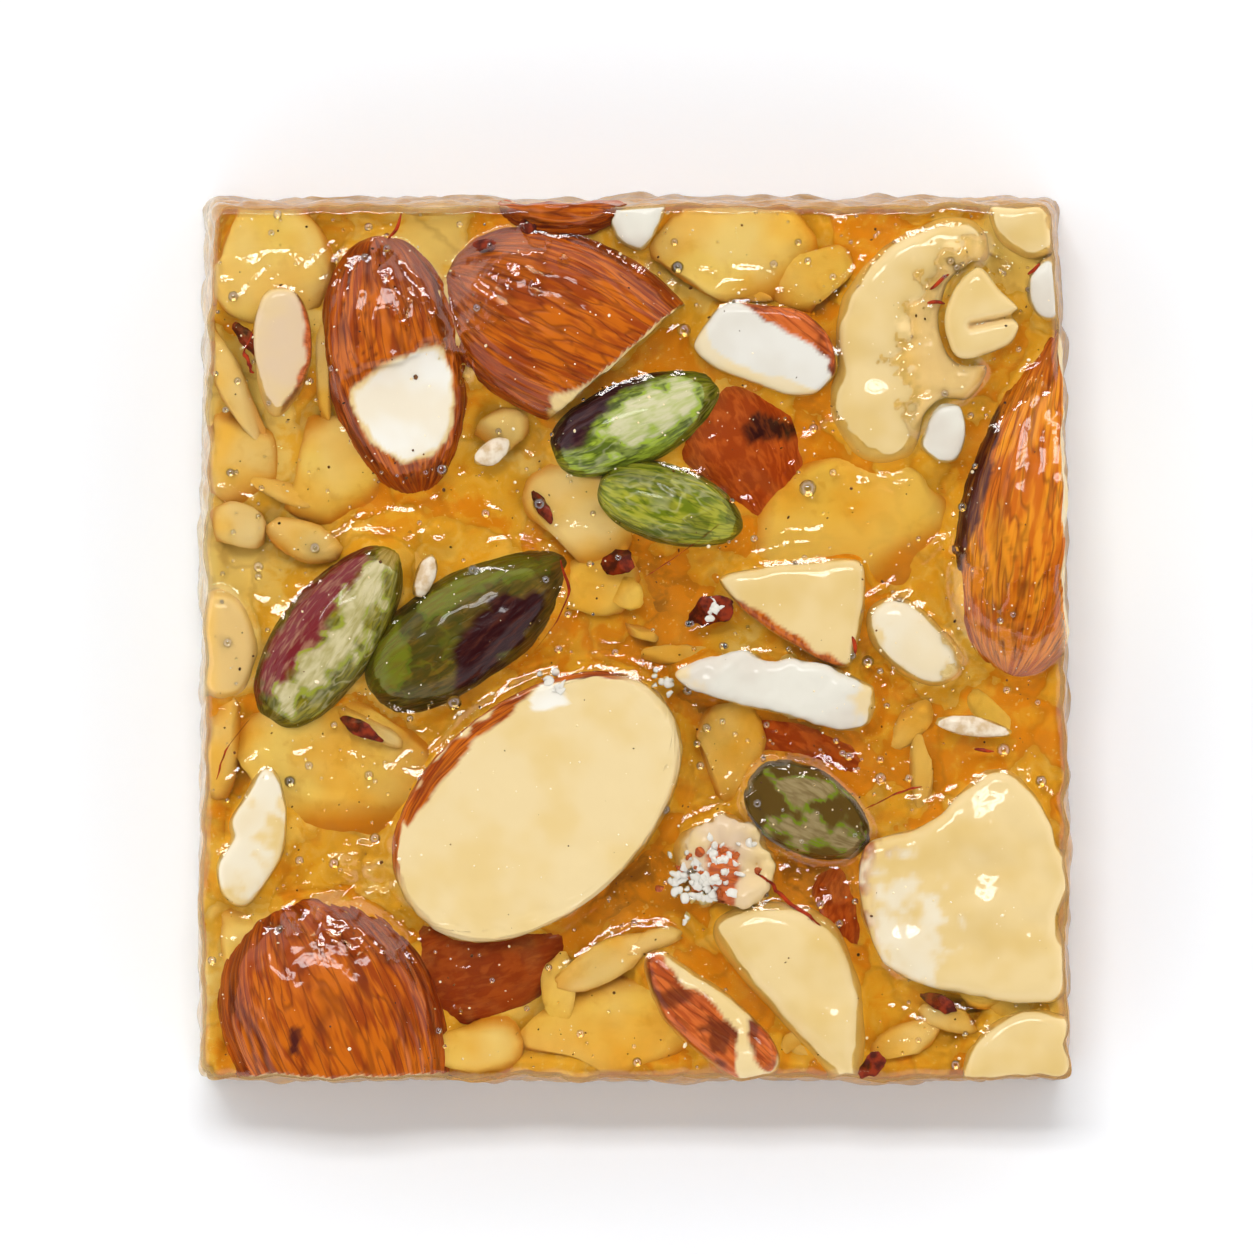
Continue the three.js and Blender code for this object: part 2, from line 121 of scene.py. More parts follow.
# Broken and cut pieces: how much their rims are worn, how rough they are, and a cleft's line, half width and depth
PIECES = {
    "almond_wedge": dict(kind="almond_flesh", look="white", worn=4, rough=0.05, way=-37),
    "almond_slice": dict(kind="almond_flesh", look="rosy", worn=6, rough=0.03),
    "almond_torn": dict(kind="almond_flesh", look="ivory", worn=10, rough=0.1, way=-41),
    "almond_crumbs": dict(kind="almond_flesh", look="rosy", worn=3, rough=0.7),
    "cashew_half": dict(kind="cashew", worn=18, rough=0.2),
    "cashew_notched": dict(kind="cashew", worn=5, rough=0.07, cleft=([(22.5, 20.85), (26.0, 21.6)], 0.24, 1.0)),
    "cashew_triangle": dict(kind="cashew", worn=7, rough=0.1),
    "cashew_tip": dict(kind="cashew", worn=34, rough=0.14),
    "cashew_block": dict(kind="cashew", worn=14, rough=0.26),
    "cashew_hook": dict(kind="cashew", worn=34, rough=0.18),
    "cashew_sliver": dict(kind="cashew", worn=8, rough=0.12),
    "cashew_left": dict(kind="cashew", worn=12, rough=0.08),
    "cashew_top_corner": dict(kind="cashew", worn=12, rough=0.24),
    "cashew_foot_corner": dict(kind="cashew", worn=12, rough=0.24),
    "coconut_bit": dict(kind="coconut", worn=4, rough=0.1),
    "coconut_strip": dict(kind="coconut", worn=8, rough=0.2),
    "coconut_rim": dict(kind="coconut", worn=6, rough=0.1),
    "coconut_side": dict(kind="coconut", worn=6, rough=0.1),
}

# Patches of another colour, as outlines in plan on the piece that they are on
PATCHES = {
    "almond_wedge": {"skin": [[
        (7.2, 22.3), (8.4, 22.8), (11.1, 22.8), (12.7, 21.6), (14.1, 19.5), (14.1, 16.5), (13.3, 17.6),
        (12.8, 18.4), (11.1, 20.0), (8.7, 21.3)]], "pale": [[
            (3.3, 21.6), (4.9, 22.2), (4.6, 20.6), (5.2, 19.3), (8.0, 17.7), (12.2, 16.4), (13.4, 15.6),
            (9.0, 15.6), (4.0, 18.6)]]},
    "cashew_tip": {"pale": [[
        (15.0, 3.4), (19.0, 3.6), (21.4, 0.6), (21.8, -2.4), (20.0, -4.6), (17.0, -2.0)]]},
    "cashew_sliver": {"pale": [[
        (-24.6, -7.4), (-23.2, -9.6), (-24.4, -13.0), (-25.6, -16.5), (-28.0, -16.0), (-28.0, -12.5),
        (-26.0, -9.3)]]},
    "almond_slice": {"skin": [[
        (-22.8, 23.8), (-21.0, 23.0), (-20.8, 14.0), (-24.0, 13.9), (-23.6, 15.0), (-22.6, 16.4),
        (-22.0, 18.3), (-22.1, 21.0)]]},
    "almond_torn": {"skin": [
        [(0.2, -20.6), (1.4, -20.7), (2.3, -21.8), (3.7, -23.1), (5.2, -24.1), (6.7, -26.1), (6.9, -29.3),
         (5.4, -29.1), (3.5, -27.8), (1.7, -25.1), (0.2, -22.8)],
        [(7.4, -25.3), (8.7, -25.6), (9.9, -27.5), (9.1, -28.9), (8.1, -28.1)]]},
    "almond_crumbs": {"skin": [
        [(5.1, -13.5), (6.6, -14.2), (7.1, -16.0), (6.6, -18.4), (5.2, -18.6), (4.9, -16.4)],
        [(3.0, -15.8), (4.5, -15.8), (4.4, -17.2), (3.2, -17.0)]]},
    "pistachio_cut": {"pale": [
        [(9.6, -9.6), (11.4, -9.0), (13.6, -9.9), (14.6, -11.0), (12.4, -11.4), (10.0, -11.1)],
        [(9.0, -12.1), (11.4, -11.9), (13.8, -12.3), (15.6, -13.4), (14.6, -14.6), (12.0, -14.3), (9.8, -13.6)]]},
    "cashew_block": {"skin": [[
        (14.2, -13.1), (15.5, -13.3), (15.5, -17.5), (15.8, -21.5), (14.6, -21.8), (14.0, -17.5)]], "pale": [[
            (15.9, -15.5), (18.2, -16.0), (19.6, -18.6), (20.6, -21.0), (18.8, -22.6), (16.4, -21.6)]]},
    "cashew_triangle": {"skin": [[
        (5.2, 3.5), (7.4, 2.4), (10.4, 0.4), (13.2, -1.5), (14.4, -2.0), (14.3, -2.5), (12.7, -2.5),
        (9.5, -0.7), (6.5, 1.3)]]},
    "almond_split": {"pale": [[
        (-7.1, -4.1), (-6.3, -3.1), (-4.9, -3.5), (-4.5, -4.3), (-5.9, -4.9), (-6.9, -4.9)]], "skin": [[
        (-15.6, -11.8), (-14.8, -10.1), (-12.9, -7.9), (-10.3, -5.5), (-7.9, -3.7), (-6.6, -3.3),
        (-7.1, -4.1), (-8.9, -5.6), (-10.9, -7.3), (-12.9, -9.5), (-14.1, -11.1), (-15.1, -12.8)]]},
    "almond_chipped": {"flesh": [[
        (-13.2, 19.7), (-12.5, 19.4), (-12.3, 18.2), (-12.1, 16.9), (-11.9, 15.5), (-12.1, 14.2), (-12.5, 12.9),
        (-13.3, 12.0), (-14.3, 11.7), (-15.3, 11.8), (-16.3, 12.2), (-17.3, 12.9), (-18.1, 13.9), (-18.6, 14.9),
        (-18.8, 15.9), (-18.7, 16.7), (-17.1, 18.0), (-14.9, 18.9)]], "pale": [
            [(-13.2, 19.5), (-12.4, 18.4), (-12.1, 15.4), (-12.9, 12.6), (-14.6, 11.9), (-16.4, 12.5),
             (-18.3, 14.6), (-18.5, 16.4), (-17.0, 17.8), (-14.9, 18.7)]]},
    "almond_blunt": {"flesh": [[
        (-5.7, 16.0), (-3.9, 16.7), (-1.1, 17.7), (-0.4, 16.8), (-2.3, 15.4), (-4.6, 14.4), (-5.7, 14.8)]]},
    "almond_corner": {"dark": [[(-23.0, -26.1), (-22.3, -26.1), (-22.3, -27.8), (-23.0, -27.8)]]},
    "almond_side": {"dark": [[
        (23.4, 16.2), (24.6, 16.9), (24.4, 13.9), (23.4, 9.2), (22.1, 5.2), (21.1, 2.5), (20.4, 6.5),
        (21.1, 10.5), (22.2, 13.9)]]},
    "pistachio_upper": {
        # The dark band on its upper left is painted shadow that the blunt almond casts on it
        "dark": [[(-6.2, 13.2), (-4.8, 15.2), (-2.9, 16.9), (-0.6, 18.3), (1.2, 18.9), (2.1, 18.0),
                  (0.4, 16.9), (-1.6, 15.5), (-2.9, 14.2), (-3.9, 12.9), (-5.3, 12.3)]],
        "pale": [[(-2.3, 13.9), (-0.6, 15.5), (1.7, 16.9), (3.7, 17.3), (4.7, 16.2), (3.7, 14.9),
                  (1.1, 13.5), (-1.3, 12.5)]]},
    "pistachio_left": {
        "dark": [[(-17.3, 6.4), (-19.2, 6.2), (-21.4, 4.4), (-23.2, 1.9), (-24.6, -0.8), (-25.4, -3.9),
                  (-23.6, -3.7), (-20.9, -0.8), (-19.3, 2.5), (-17.1, 5.2)]],
        "pale": [[(-17.1, 5.9), (-15.7, 5.6), (-16.6, 3.2), (-17.9, 0.5), (-19.9, -2.1), (-22.3, -4.5),
                  (-24.2, -5.8), (-23.6, -3.5), (-20.9, -0.8), (-19.3, 2.5)]]},
    "pistachio_dark": {
        "dark": [[(-12.3, -3.8), (-11.9, 0.2), (-9.6, 2.4), (-7.9, 3.2), (-5.6, 3.2), (-5.9, 1.9), (-8.3, -1.1),
                  (-9.6, -2.8), (-11.3, -3.6)]],
        "pale": [[(-17.8, 0.9), (-15.6, 1.4), (-15.2, -1.2), (-15.6, -3.6), (-17.8, -3.7), (-18.2, -1.5)],
                 [(-14.6, 2.4), (-12.4, 4.4), (-9.3, 5.4), (-5.4, 5.4), (-5.6, 4.2), (-9.0, 3.9), (-12.3, 2.2),
                  (-13.8, 0.9)]]},
    "almond_far": {"dark": [[(7.2, 14.2), (8.2, 15.0), (9.6, 14.6), (11.4, 13.9), (10.0, 13.2), (7.6, 13.3)]]},
    "coconut_strip": {"pale": [
        [(0.0, -0.6), (3.4, -0.8), (3.6, -3.6), (0.0, -3.6)],
        [(15.2, -3.0), (19.5, -4.0), (19.5, -7.5), (14.6, -6.6)]]},
    # A thin line of the skin colour at the inner end of the slit: painted shade where the cleft runs deepest
    "cashew_notched": {"skin": [[(22.4, 20.9), (23.6, 21.2), (23.6, 21.05), (22.4, 20.75)]]},
}

# Nuts that lie wholly under the sugar: kind, place, own sizes, turn and how deep the top lies
SUNK = [
    ("cashew", (6.5, 25.6), (9.8, 7.0, 5.2), 8, 0.45),
    ("cashew", (-24.6, 25.2), (8.4, 7.6, 5.0), 20, 0.5),
    ("cashew", (-20.3, -8.6), (12.0, 8.6, 5.0), -8, 0.6),
    ("cashew", (-19.9, 11.4), (7.2, 6.4, 4.6), 15, 0.6),
    ("cashew", (14.5, 7.0), (12.6, 9.2, 5.6), 12, 1.0),
    ("cashew", (-1.6, -26.0), (10.8, 6.2, 5.0), 4, 0.9),
    ("cashew", (-10.4, -27.2), (5.6, 3.6, 4.0), 10, 0.4),
    ("flesh", (-3.8, 8.5), (7.0, 5.6, 4.0), -30, 0.35),
    ("flesh", (-26.4, 12.7), (4.6, 7.6, 4.4), 8, 0.5),
    ("flesh", (-26.4, 7.6), (3.2, 3.4, 3.4), 0, 0.5),
    ("flesh", (-20.7, 17.7), (1.1, 5.8, 2.6), 4, 0.35),
    ("flesh", (6.2, -7.4), (4.6, 7.0, 4.0), -12, 0.9),
    ("cashew", (22.4, -4.6), (11.4, 8.4, 5.0), -10, 2.4),
    ("flesh", (1.1, -20.2), (4.6, 1.4, 2.2), 18, 0.35),
    ("flesh", (-2.2, -21.6), (5.8, 2.4, 2.6), 25, 0.4),
    ("cashew", (12.2, 24.2), (5.0, 4.6, 4.0), 30, 0.7),
    ("cashew", (-25.6, -20.2), (5.0, 5.6, 4.4), 10, 0.8),
    ("cashew", (26.2, -24.2), (4.8, 3.6, 4.2), 0, 0.8),
    ("flesh", (-8.8, 13.8), (3.4, 2.6, 3.0), 20, 0.35),
    ("flesh", (-27.4, -7.0), (2.2, 6.4, 3.6), -4, 0.5),
    ("flesh", (-17.6, -5.9), (4.4, 1.3, 2.0), -28, 0.2),
    ("cashew", (18.6, -21.6), (6.0, 3.4, 3.0), -20, 0.9),
    ("cashew", (-2.6, 3.4), (5.2, 4.4, 3.6), 24, 1.0),
    ("flesh", (-26.7, 17.0), (8.4, 2.0, 2.2), -63, 0.3),
    ("flesh", (-22.0, 6.6), (4.4, 2.4, 2.4), -20, 0.3),
    ("flesh", (17.8, -27.2), (4.5, 2.2, 2.4), 30, 0.5),
    ("flesh", (21.0, -25.4), (4.0, 1.6, 2.2), -15, 0.4),
    ("cashew", (23.4, -23.4), (4.0, 2.4, 2.4), 10, 0.5),
]
SUNK_ALMONDS = {
    "almond_far": dict(ALMOND, length=12.5, width=9.0, thickness=6, at=(7.3, 12.3), turn=-62, rise=-0.45),
    "almond_near": dict(ALMOND, length=14, width=8.6, thickness=6, at=(-9.4, -21.4), turn=14, rise=-0.5,
                        shade=0.32),
    "almond_low": dict(ALMOND, length=10, width=6.0, thickness=5, at=(11.9, -6.9), turn=-28, rise=-1.2),
    "almond_deep": dict(ALMOND, length=9, width=5.4, thickness=5, at=(13.6, -18.3), turn=80, rise=-1.0),
}

# Seeds and flakes of skin: place, own sizes and turn. Saffron threads: place, length and turn
SEEDS = [((-13.9, 4.2), 3.0, 1.3, 72), ((22.5, -5.9), 5.0, 1.4, -6), ((-9.4, 12.4), 2.6, 1.6, 30)]
THREADS = [((20.3, 23.7), 1.6, 30), ((20.1, 22.3), 1.2, -10), ((14.6, -0.4), 1.4, -70), ((23.3, -7.5), 1.3, 4),
           ((26.6, 24.6), 1.2, 50), ((-15.9, 27.4), 1.8, 60)]
FLAKES = [((-6.1, 8.7), 2.4, 1.1, -60), ((-1.0, 5.2), 2.0, 1.9, -40), ((5.2, 1.8), 3.2, 2.4, 35),
          ((-25.8, 19.9), 3.0, 1.2, -50), ((-6.9, 27.0), 1.2, 2.6, 15), ((-9.9, 26.0), 1.6, 1.0, 0),
          ((15.9, -28.6), 2.2, 1.2, 60), ((-18.3, -6.0), 3.4, 1.0, -25),
          ((20.6, -24.4), 3.0, 1.0, -25)]

# Strands of skin in the top of the sugar, as lines in plan
STRANDS = [
    [(-24.3, -4.1), (-25.8, -5.6), (-27.2, -7.4), (-27.9, -9.5)],
    [(-4.9, 5.2), (-4.2, 3.2), (-5.2, 1.0), (-6.6, -0.8)],
    [(5.6, 7.5), (4.2, 6.4), (2.2, 5.0), (0.6, 4.0)],
    [(8.2, -15.6), (10.2, -17.4), (12.4, -19.2)],
    [(-25.4, 20.6), (-26.0, 19.0), (-25.4, 17.6)],
    [(19.4, -9.8), (17.4, -10.4), (15.4, -11.4)],
]

# Heaps of almond granules: middle, reach, number and the share in skin
GRANULES = [((4.0, -16.2), 2.2, 60, 0.12), ((6.2, -15.0), 2.0, 38, 0.1), ((1.8, -2.9), 1.0, 8, 0.0),
            ((5.2, 2.0), 1.0, 9, 0.0), ((-5.4, -2.9), 0.8, 8, 0.0)]

# Ridges in the syrup, as lines in plan with their height and half width
RIDGES = [
    ([(-22.4, 5.1), (-21.1, 6.0), (-19.6, 6.6), (-17.9, 6.9), (-16.1, 6.9)], 0.20, 0.27),
    ([(-9.5, 6.5), (-7.6, 6.7), (-5.9, 5.9), (-4.6, 4.7), (-3.6, 3.2)], 0.19, 0.27),
    ([(-11.5, -5.6), (-9.6, -4.3), (-7.8, -3.3), (-5.7, -2.6)], 0.20, 0.26),
    ([(10.1, 10.5), (11.7, 13.2), (13.1, 14.2), (15.4, 14.5)], 0.22, 0.26),
    ([(15.7, 2.7), (17.1, 3.5), (18.5, 4.7), (20.1, 6.2), (21.1, 6.7)], 0.25, 0.26),
    ([(16.4, 1.5), (18.0, 2.6), (19.4, 3.6), (20.7, 5.0)], 0.15, 0.22),
    ([(-5.7, -23.1), (-3.9, -21.5), (-2.3, -20.3), (0.0, -19.3), (2.4, -19.6)], 0.25, 0.38),
    ([(9.1, -5.7), (10.5, -7.1), (13.7, -8.8), (18.5, -10.9), (21.3, -11.2)], 0.20, 0.26),
    ([(-15.2, 6.3), (-14.2, 6.8), (-13.0, 6.4)], 0.25, 0.30),
    ([(15.1, 10.0), (16.6, 10.6), (18.1, 9.6)], 0.25, 0.38),
    ([(-28.2, -3.0), (-25.6, -5.4), (-23.8, -8.6)], 0.15, 0.26),
    ([(-19.0, -8.0), (-14.0, -9.6), (-13.2, -12.0)], 0.12, 0.30),
    ([(13.6, 27.6), (15.4, 24.8), (15.2, 22.6)], 0.20, 0.30),
    ([(-27.6, 9.8), (-25.2, 9.0), (-23.6, 6.6)], 0.18, 0.27),
    ([(-15.7, 25.6), (-14.5, 24.4), (-13.5, 22.6), (-12.4, 20.5)], 0.26, 0.26),
    ([(-16.9, 26.4), (-16.3, 25.0), (-15.9, 24.0)], 0.24, 0.26),
    ([(-12.0, 24.4), (-10.9, 23.6), (-9.8, 22.6)], 0.24, 0.26),
    ([(-11.2, 25.4), (-9.4, 25.8), (-7.2, 25.4)], 0.26, 0.28),
]
# Crumpled places: middle, reach and height
RIPPLES = [((-17.4, -15.6), 3.2, 0.75), ((-16.6, 6.4), 2.6, 0.2), ((15.6, 9.8), 2.4, 0.22),
           ((6.4, -17.0), 2.2, 0.16), ((12.6, -24.6), 3.0, 0.2), ((-22.5, 20.4), 2.2, 0.12),
           ((11.5, -16.6), 2.8, 0.4), ((20.0, -26.0), 3.2, 0.3)]
# Where the cloudy sugar is paler or browner: middle, reach, and from -1 for straw to 1 for brown
CLOUD_TONES = [
    ((-21.0, 22.0), 6.0, -0.9), ((-12.9, 27.0), 3.0, -1.0), ((-25.0, 13.0), 5.0, -0.9), ((-10.0, 9.5), 4.0, 0.2),
    ((-3.5, 8.5), 3.5, -0.9), ((0.0, 2.5), 4.0, 0.6), ((14.5, 9.0), 5.0, 0.0), ((22.0, -4.0), 5.0, -0.2),
    ((4.5, -7.0), 4.0, 0.5), ((-0.9, -16.1), 4.0, 0.7), ((-27.0, 5.0), 4.0, -0.9), ((-20.0, -8.0), 5.0, -0.6),
    ((-4.0, -26.5), 6.0, -0.5), ((18.5, -26.0), 4.0, -0.1), ((12.5, -15.5), 3.5, 0.9), ((10.0, -5.5), 3.0, 0.8),
    ((6.0, 25.0), 6.0, -0.7), ((13.0, 24.0), 3.0, 0.1), ((24.0, 25.0), 5.0, -0.7), ((26.0, -10.0), 3.0, -0.2),
    ((-16.5, -15.0), 3.5, -0.6), ((7.5, -0.3), 2.2, -1.0), ((-8.5, 13.0), 3.0, -0.8), ((-26.5, -22.0), 4.0, -0.6),
]
# Nuts that the syrup has run over: name, sugar over them, its tint from -1 for thin to 1 for deep, and where
FLOODS = [
    ("cashew_half", 0.1, -0.75, [
        (24.2, 27.0), (20.8, 25.4), (19.0, 22.5), (18.0, 19.2), (18.4, 15.9), (20.2, 12.4), (23.4, 11.6),
        (25.4, 15.9), (25.4, 26.3)]),
    ("cashew_left", 0.12, -0.7, [(-30.0, 6.0), (-23.0, 6.0), (-23.0, -6.0), (-30.0, -6.0)]),
    ("pistachio_cut", 0.12, -0.4, [(7.0, -8.0), (16.0, -8.0), (17.0, -15.5), (7.0, -15.5)]),
    ("almond_corner", 0.1, -0.4, [
        (-22.0, -15.0), (-11.0, -15.0), (-10.8, -20.2), (-14.0, -19.4), (-17.6, -20.6), (-21.6, -19.2)]),
    ("almond_side", 0.08, 0.0, [(19.5, 5.6), (23.4, 3.4), (26.2, 2.2), (29.5, 4.6), (29.5, -3.0), (19.5, -3.0)]),
    ("cashew_tip", 0.08, -0.7, [(21.6, 1.0), (22.4, -1.2), (21.0, -4.6), (26.0, -5.0), (26.0, 1.0)]),
    ("almond_chipped", 0.07, -0.6, [
        (-17.4, 27.4), (-13.0, 27.2), (-10.6, 23.5), (-10.6, 18.6), (-12.0, 18.8), (-13.0, 20.6), (-14.6, 22.4),
        (-16.6, 23.4)]),
    ("almond_blunt", 0.07, -0.6, [
        (-13.2, 26.8), (-8.0, 27.0), (-5.8, 25.6), (-7.6, 23.8), (-9.4, 22.2), (-12.0, 20.4), (-13.4, 22.6)]),
]


def linear(code):
    """A colour code as the linear red, green, blue and one that a colour socket takes."""
    parts = [int(code[i:i + 2], 16) / 255 for i in (0, 2, 4)]
    return tuple(p / 12.92 if p <= 0.04045 else ((p + 0.055) / 1.055) ** 2.4 for p in parts) + (1.0,)


def colour(title, about, code):
    """A colour that a user may change."""
    return bpy.props.FloatVectorProperty(
        name=title, description=about, default=linear(code), subtype="COLOR", size=4, min=0, max=1)


def length(title, about, size):
    """A length that a user may change, given in millimetres."""
    return bpy.props.FloatProperty(name=title, description=about, default=size * MM, subtype="DISTANCE",
                                   unit="LENGTH", min=0, precision=5)


def light_strength(title, about, value):
    """A strength of light that a user may change."""
    return bpy.props.FloatProperty(name=title, description=about, default=value, min=0)


def light_angle(title, about, degrees):
    """An angle that a user may change."""
    return bpy.props.FloatProperty(name=title, description=about, default=math.radians(degrees), subtype="ANGLE",
                                   unit="ROTATION", min=0.02, max=1.5)


class BrittleSugar(bpy.types.PropertyGroup):
    """The sugar's sizes and colours."""

    step: length("Step", "Spacing of the points in the sugar's top", 0.21)
    climb: length("Climb", "How far the sugar climbs up a nut", 0.3)
    meniscus: length("Meniscus", "How far from a nut the sugar levels out", 0.55)
    film: length("Film", "Sugar over a nut that lies just under it", 0.22)
    cloud: length("Cloud depth", "How far under the top the sugar turns cloudy", 2.1)
    cloud_inset: length("Cloud inset", "How far inside the sides the sugar turns cloudy", 0.45)
    bubble: length("Bubble", "Radius of a usual air bubble", 0.11)
    bubbles: bpy.props.IntProperty(name="Bubbles", description="Number of air bubbles", default=760, min=0)
    shallow: colour("Shallow", "Tint of the sugar over a nut that lies just under it", "FEEAAE")
    thin: colour("Thin", "Tint of the film where syrup has run over a nut", "FFF9EA")
    clear: colour("Clear", "Tint of the deeper sugar", "FCD470")
    frost: colour("Frost", "Crystals on the broken sides", "DAA446")
    frost_pale: colour("Pale frost", "Crystals on the left side, the palest", "F6E8C8")
    frost_deep: colour("Deep frost", "Golden sugar on the broken sides", "BC852C")
    straw: colour("Straw", "Cloudy sugar where it is palest", "FFEAA6")
    yellow: colour("Yellow", "Cloudy sugar where it is yellow", "F8CE58")
    gold: colour("Gold", "Cloudy sugar where it is golden", "F2AA1C")
    brown: colour("Brown", "Cloudy sugar where it is darkest", "B07A20")


class BrittleNuts(bpy.types.PropertyGroup):
    """The nuts' sizes and colours."""

    rib: length("Rib", "Depth of the ribs in an almond's skin", 0.22)
    voxel: length("Grain", "Spacing of the points that a broken piece is evened out to", 0.4)
    skin: colour("Skin", "Almond skin on the ribs", "C66410")
    skin_deep: colour("Deep skin", "Almond skin between the ribs", "983E08")
    amber_skin: colour("Amber skin", "Almond skin of a lighter nut", "E48E20")
    # The colour for the grooves is painted shade in the grooves and creases of the skin
    skin_groove_shade: colour("Groove", "Almond skin down in the grooves", "561F0B")
    sunk_skin: colour("Sunk skin", "Almond skin under the sugar", "CE682C")
    sunk_skin_deep: colour("Deep sunk skin", "Almond skin under the sugar, between its ribs", "AC4A1A")
    flesh: colour("Flesh", "Almond flesh", "E5CD9A")
    flesh_deep: colour("Deep flesh", "Almond flesh in its yellower parts", "E1C486")
    white_flesh: colour("White flesh", "Almond flesh, freshly cut", "E0DCD2")
    rosy_flesh: colour("Rosy flesh", "Almond flesh in a thin slice", "DABF9E")
    # Under the sugar the flesh and cashew are lighter copies of their colours in the top: painted light that makes up
    # for the light the sugar holds back
    sunk_flesh: colour("Sunk flesh", "Almond flesh under the sugar", "F6DFAE")
    sunk_cashew: colour("Sunk cashew", "Cashew under the sugar", "FFEBA4")
    sunk_cashew_deep: colour("Deep sunk cashew", "Cashew under the sugar in its yellower parts", "FAD070")
    cashew: colour("Cashew", "Cashew", "E4C990")
    cashew_deep: colour("Deep cashew", "Cashew in its yellower parts", "DCBC78")
    coconut: colour("Coconut", "Coconut", "DFDACC")
    coconut_deep: colour("Deep coconut", "Coconut between its fibres", "D4CABB")


class BrittleStage(bpy.types.PropertyGroup):
    """The floor, the light and the camera."""

    floor: colour("Floor", "The pale floor", "FAFCFF")
    sky: light_strength("Sky", "Strength of the light from all round", 1.55)
    overhead: light_strength("Overhead", "Strength of the light straight from above", 0.06)
    key: light_strength("Softbox", "Strength of the softbox", 21.0)
    softbox_wide: light_angle("Softbox width", "Angle that the softbox spans from side to side", 32)
    softbox_tall: light_angle("Softbox height", "Angle that the softbox spans from front to back", 12)
    height: bpy.props.FloatProperty(name="Height", description="Height of the camera over the sugar", default=1.5,
                                    subtype="DISTANCE", unit="LENGTH", min=0.1)
    across: length("Across", "Width of what the camera sees", 83.6)


# Noise and shape

FAR_AWAY = 1e9
TINY = 1e-12
LATTICE_SIDE = 32
LATTICE_SEED = 11
LATTICE = np.random.default_rng(LATTICE_SEED).random((LATTICE_SIDE,) * 3) * 2 - 1


def lumps(points, size):
    """Smooth noise between -1 and 1 at each point, with lumps about size across."""
    place = points / size
    cell = np.floor(place).astype(int)
    part = place - cell
    part = part * part * (3 - 2 * part)
    total = np.zeros(len(points))
    for corner in np.ndindex(2, 2, 2):
        weight = np.prod(np.where(corner, part, 1 - part), axis=1)
        i, j, k = ((cell + corner) % LATTICE_SIDE).T
        total += weight * LATTICE[i, j, k]
    return total


def grain(points, size, layers=3):
    """Noise of several sizes, each half as large and half as strong as the last."""
    return sum(lumps(points + 7.3 * layer, size / 2 ** layer) / 2 ** layer for layer in range(layers))


def ease(low, high, value):
    """0 below low, 1 above high, and smooth between them."""
    share = np.clip((value - low) / (high - low), 0, 1)
    return share * share * (3 - 2 * share)


def wander(x, y, z):
    """How far the broken surfaces stray at a point, between -1 and 1."""
    total = sum(wave[4] for wave in WAVES)
    return sum(share * np.sin(a * x + b * y + c * z + start) for a, b, c, start, share in WAVES) / total


def in_plan(x, y):
    """Points at height 0 over each place in plan."""
    return np.stack([x.ravel(), y.ravel(), np.zeros(x.size)], axis=1)


def plan_grain(x, y, shift, size, layers=2):
    """Noise over places in plan, from a part of it that the shift picks."""
    return grain(in_plan(x, y) + shift, size, layers).reshape(x.shape)


def drawn_in(x, y):
    """The place across of a point x, once the sides have drawn in towards the far end."""
    share = np.maximum(0, (y / SLAB_LENGTH - FAR_FROM) / (0.5 - FAR_FROM))
    draw = np.where(x > 0, FAR_DRAW["right"], FAR_DRAW["left"])
    return x * (1 - 2 * share * draw / SLAB_WIDTH)


def leaned_in(y, z):
    """What is left of the slab's width and length at a height, as its sides lean in."""
    inset = RIM_INSET + 2 * RIM_LEAN * y / SLAB_LENGTH
    return 1 - 2 * inset * z / (SLAB_HEIGHT * SLAB_WIDTH)


def near_line(x, y, line):
    """How far each place in plan is from a bent line."""
    away = np.full(x.shape, FAR_AWAY)
    for (ax, ay), (bx, by) in zip(line, line[1:]):
        run = np.array([bx - ax, by - ay])
        share = np.clip(((x - ax) * run[0] + (y - ay) * run[1]) / run.dot(run), 0, 1)
        away = np.minimum(away, np.hypot(x - ax - share * run[0], y - ay - share * run[1]))
    return away


def inside_patch(points, outline, soft):
    """1 well inside an outline in plan, 0 well outside it, with a ragged edge."""
    x, y = points[:, 0], points[:, 1]
    loop = outline + outline[:1]
    away = near_line(x, y, loop)
    inside = np.zeros(len(points), bool)
    for (ax, ay), (bx, by) in zip(loop, loop[1:]):
        crosses = (ay > y) != (by > y)
        inside ^= crosses & (x < (bx - ax) * (y - ay) / ((by - ay) or TINY) + ax)
    depth = np.where(inside, away, -away) + soft * grain(points, PATCH_RAGGED)
    return ease(-soft / 2, soft / 2, depth)


PATCH_SOFT = {"pistachio_upper": 0.7, "pistachio_left": 1.0, "pistachio_dark": 0.6, "pistachio_cut": 0.9,
              "coconut_strip": 1.6, "cashew_block": 2.2, "cashew_tip": 1.6, "cashew_sliver": 1.2}
PATCH_SHARP = 0.25
PATCH_RAGGED = 1.1


def patch_masks(name, points):
    """The patches that a piece carries, each as one number a point."""
    soft = PATCH_SOFT.get(name, PATCH_SHARP)
    masks = {}
    for mask, outlines in PATCHES.get(name, {}).items():
        masks[mask] = np.max([inside_patch(points, outline, soft) for outline in outlines], axis=0)
    return masks


# Meshes

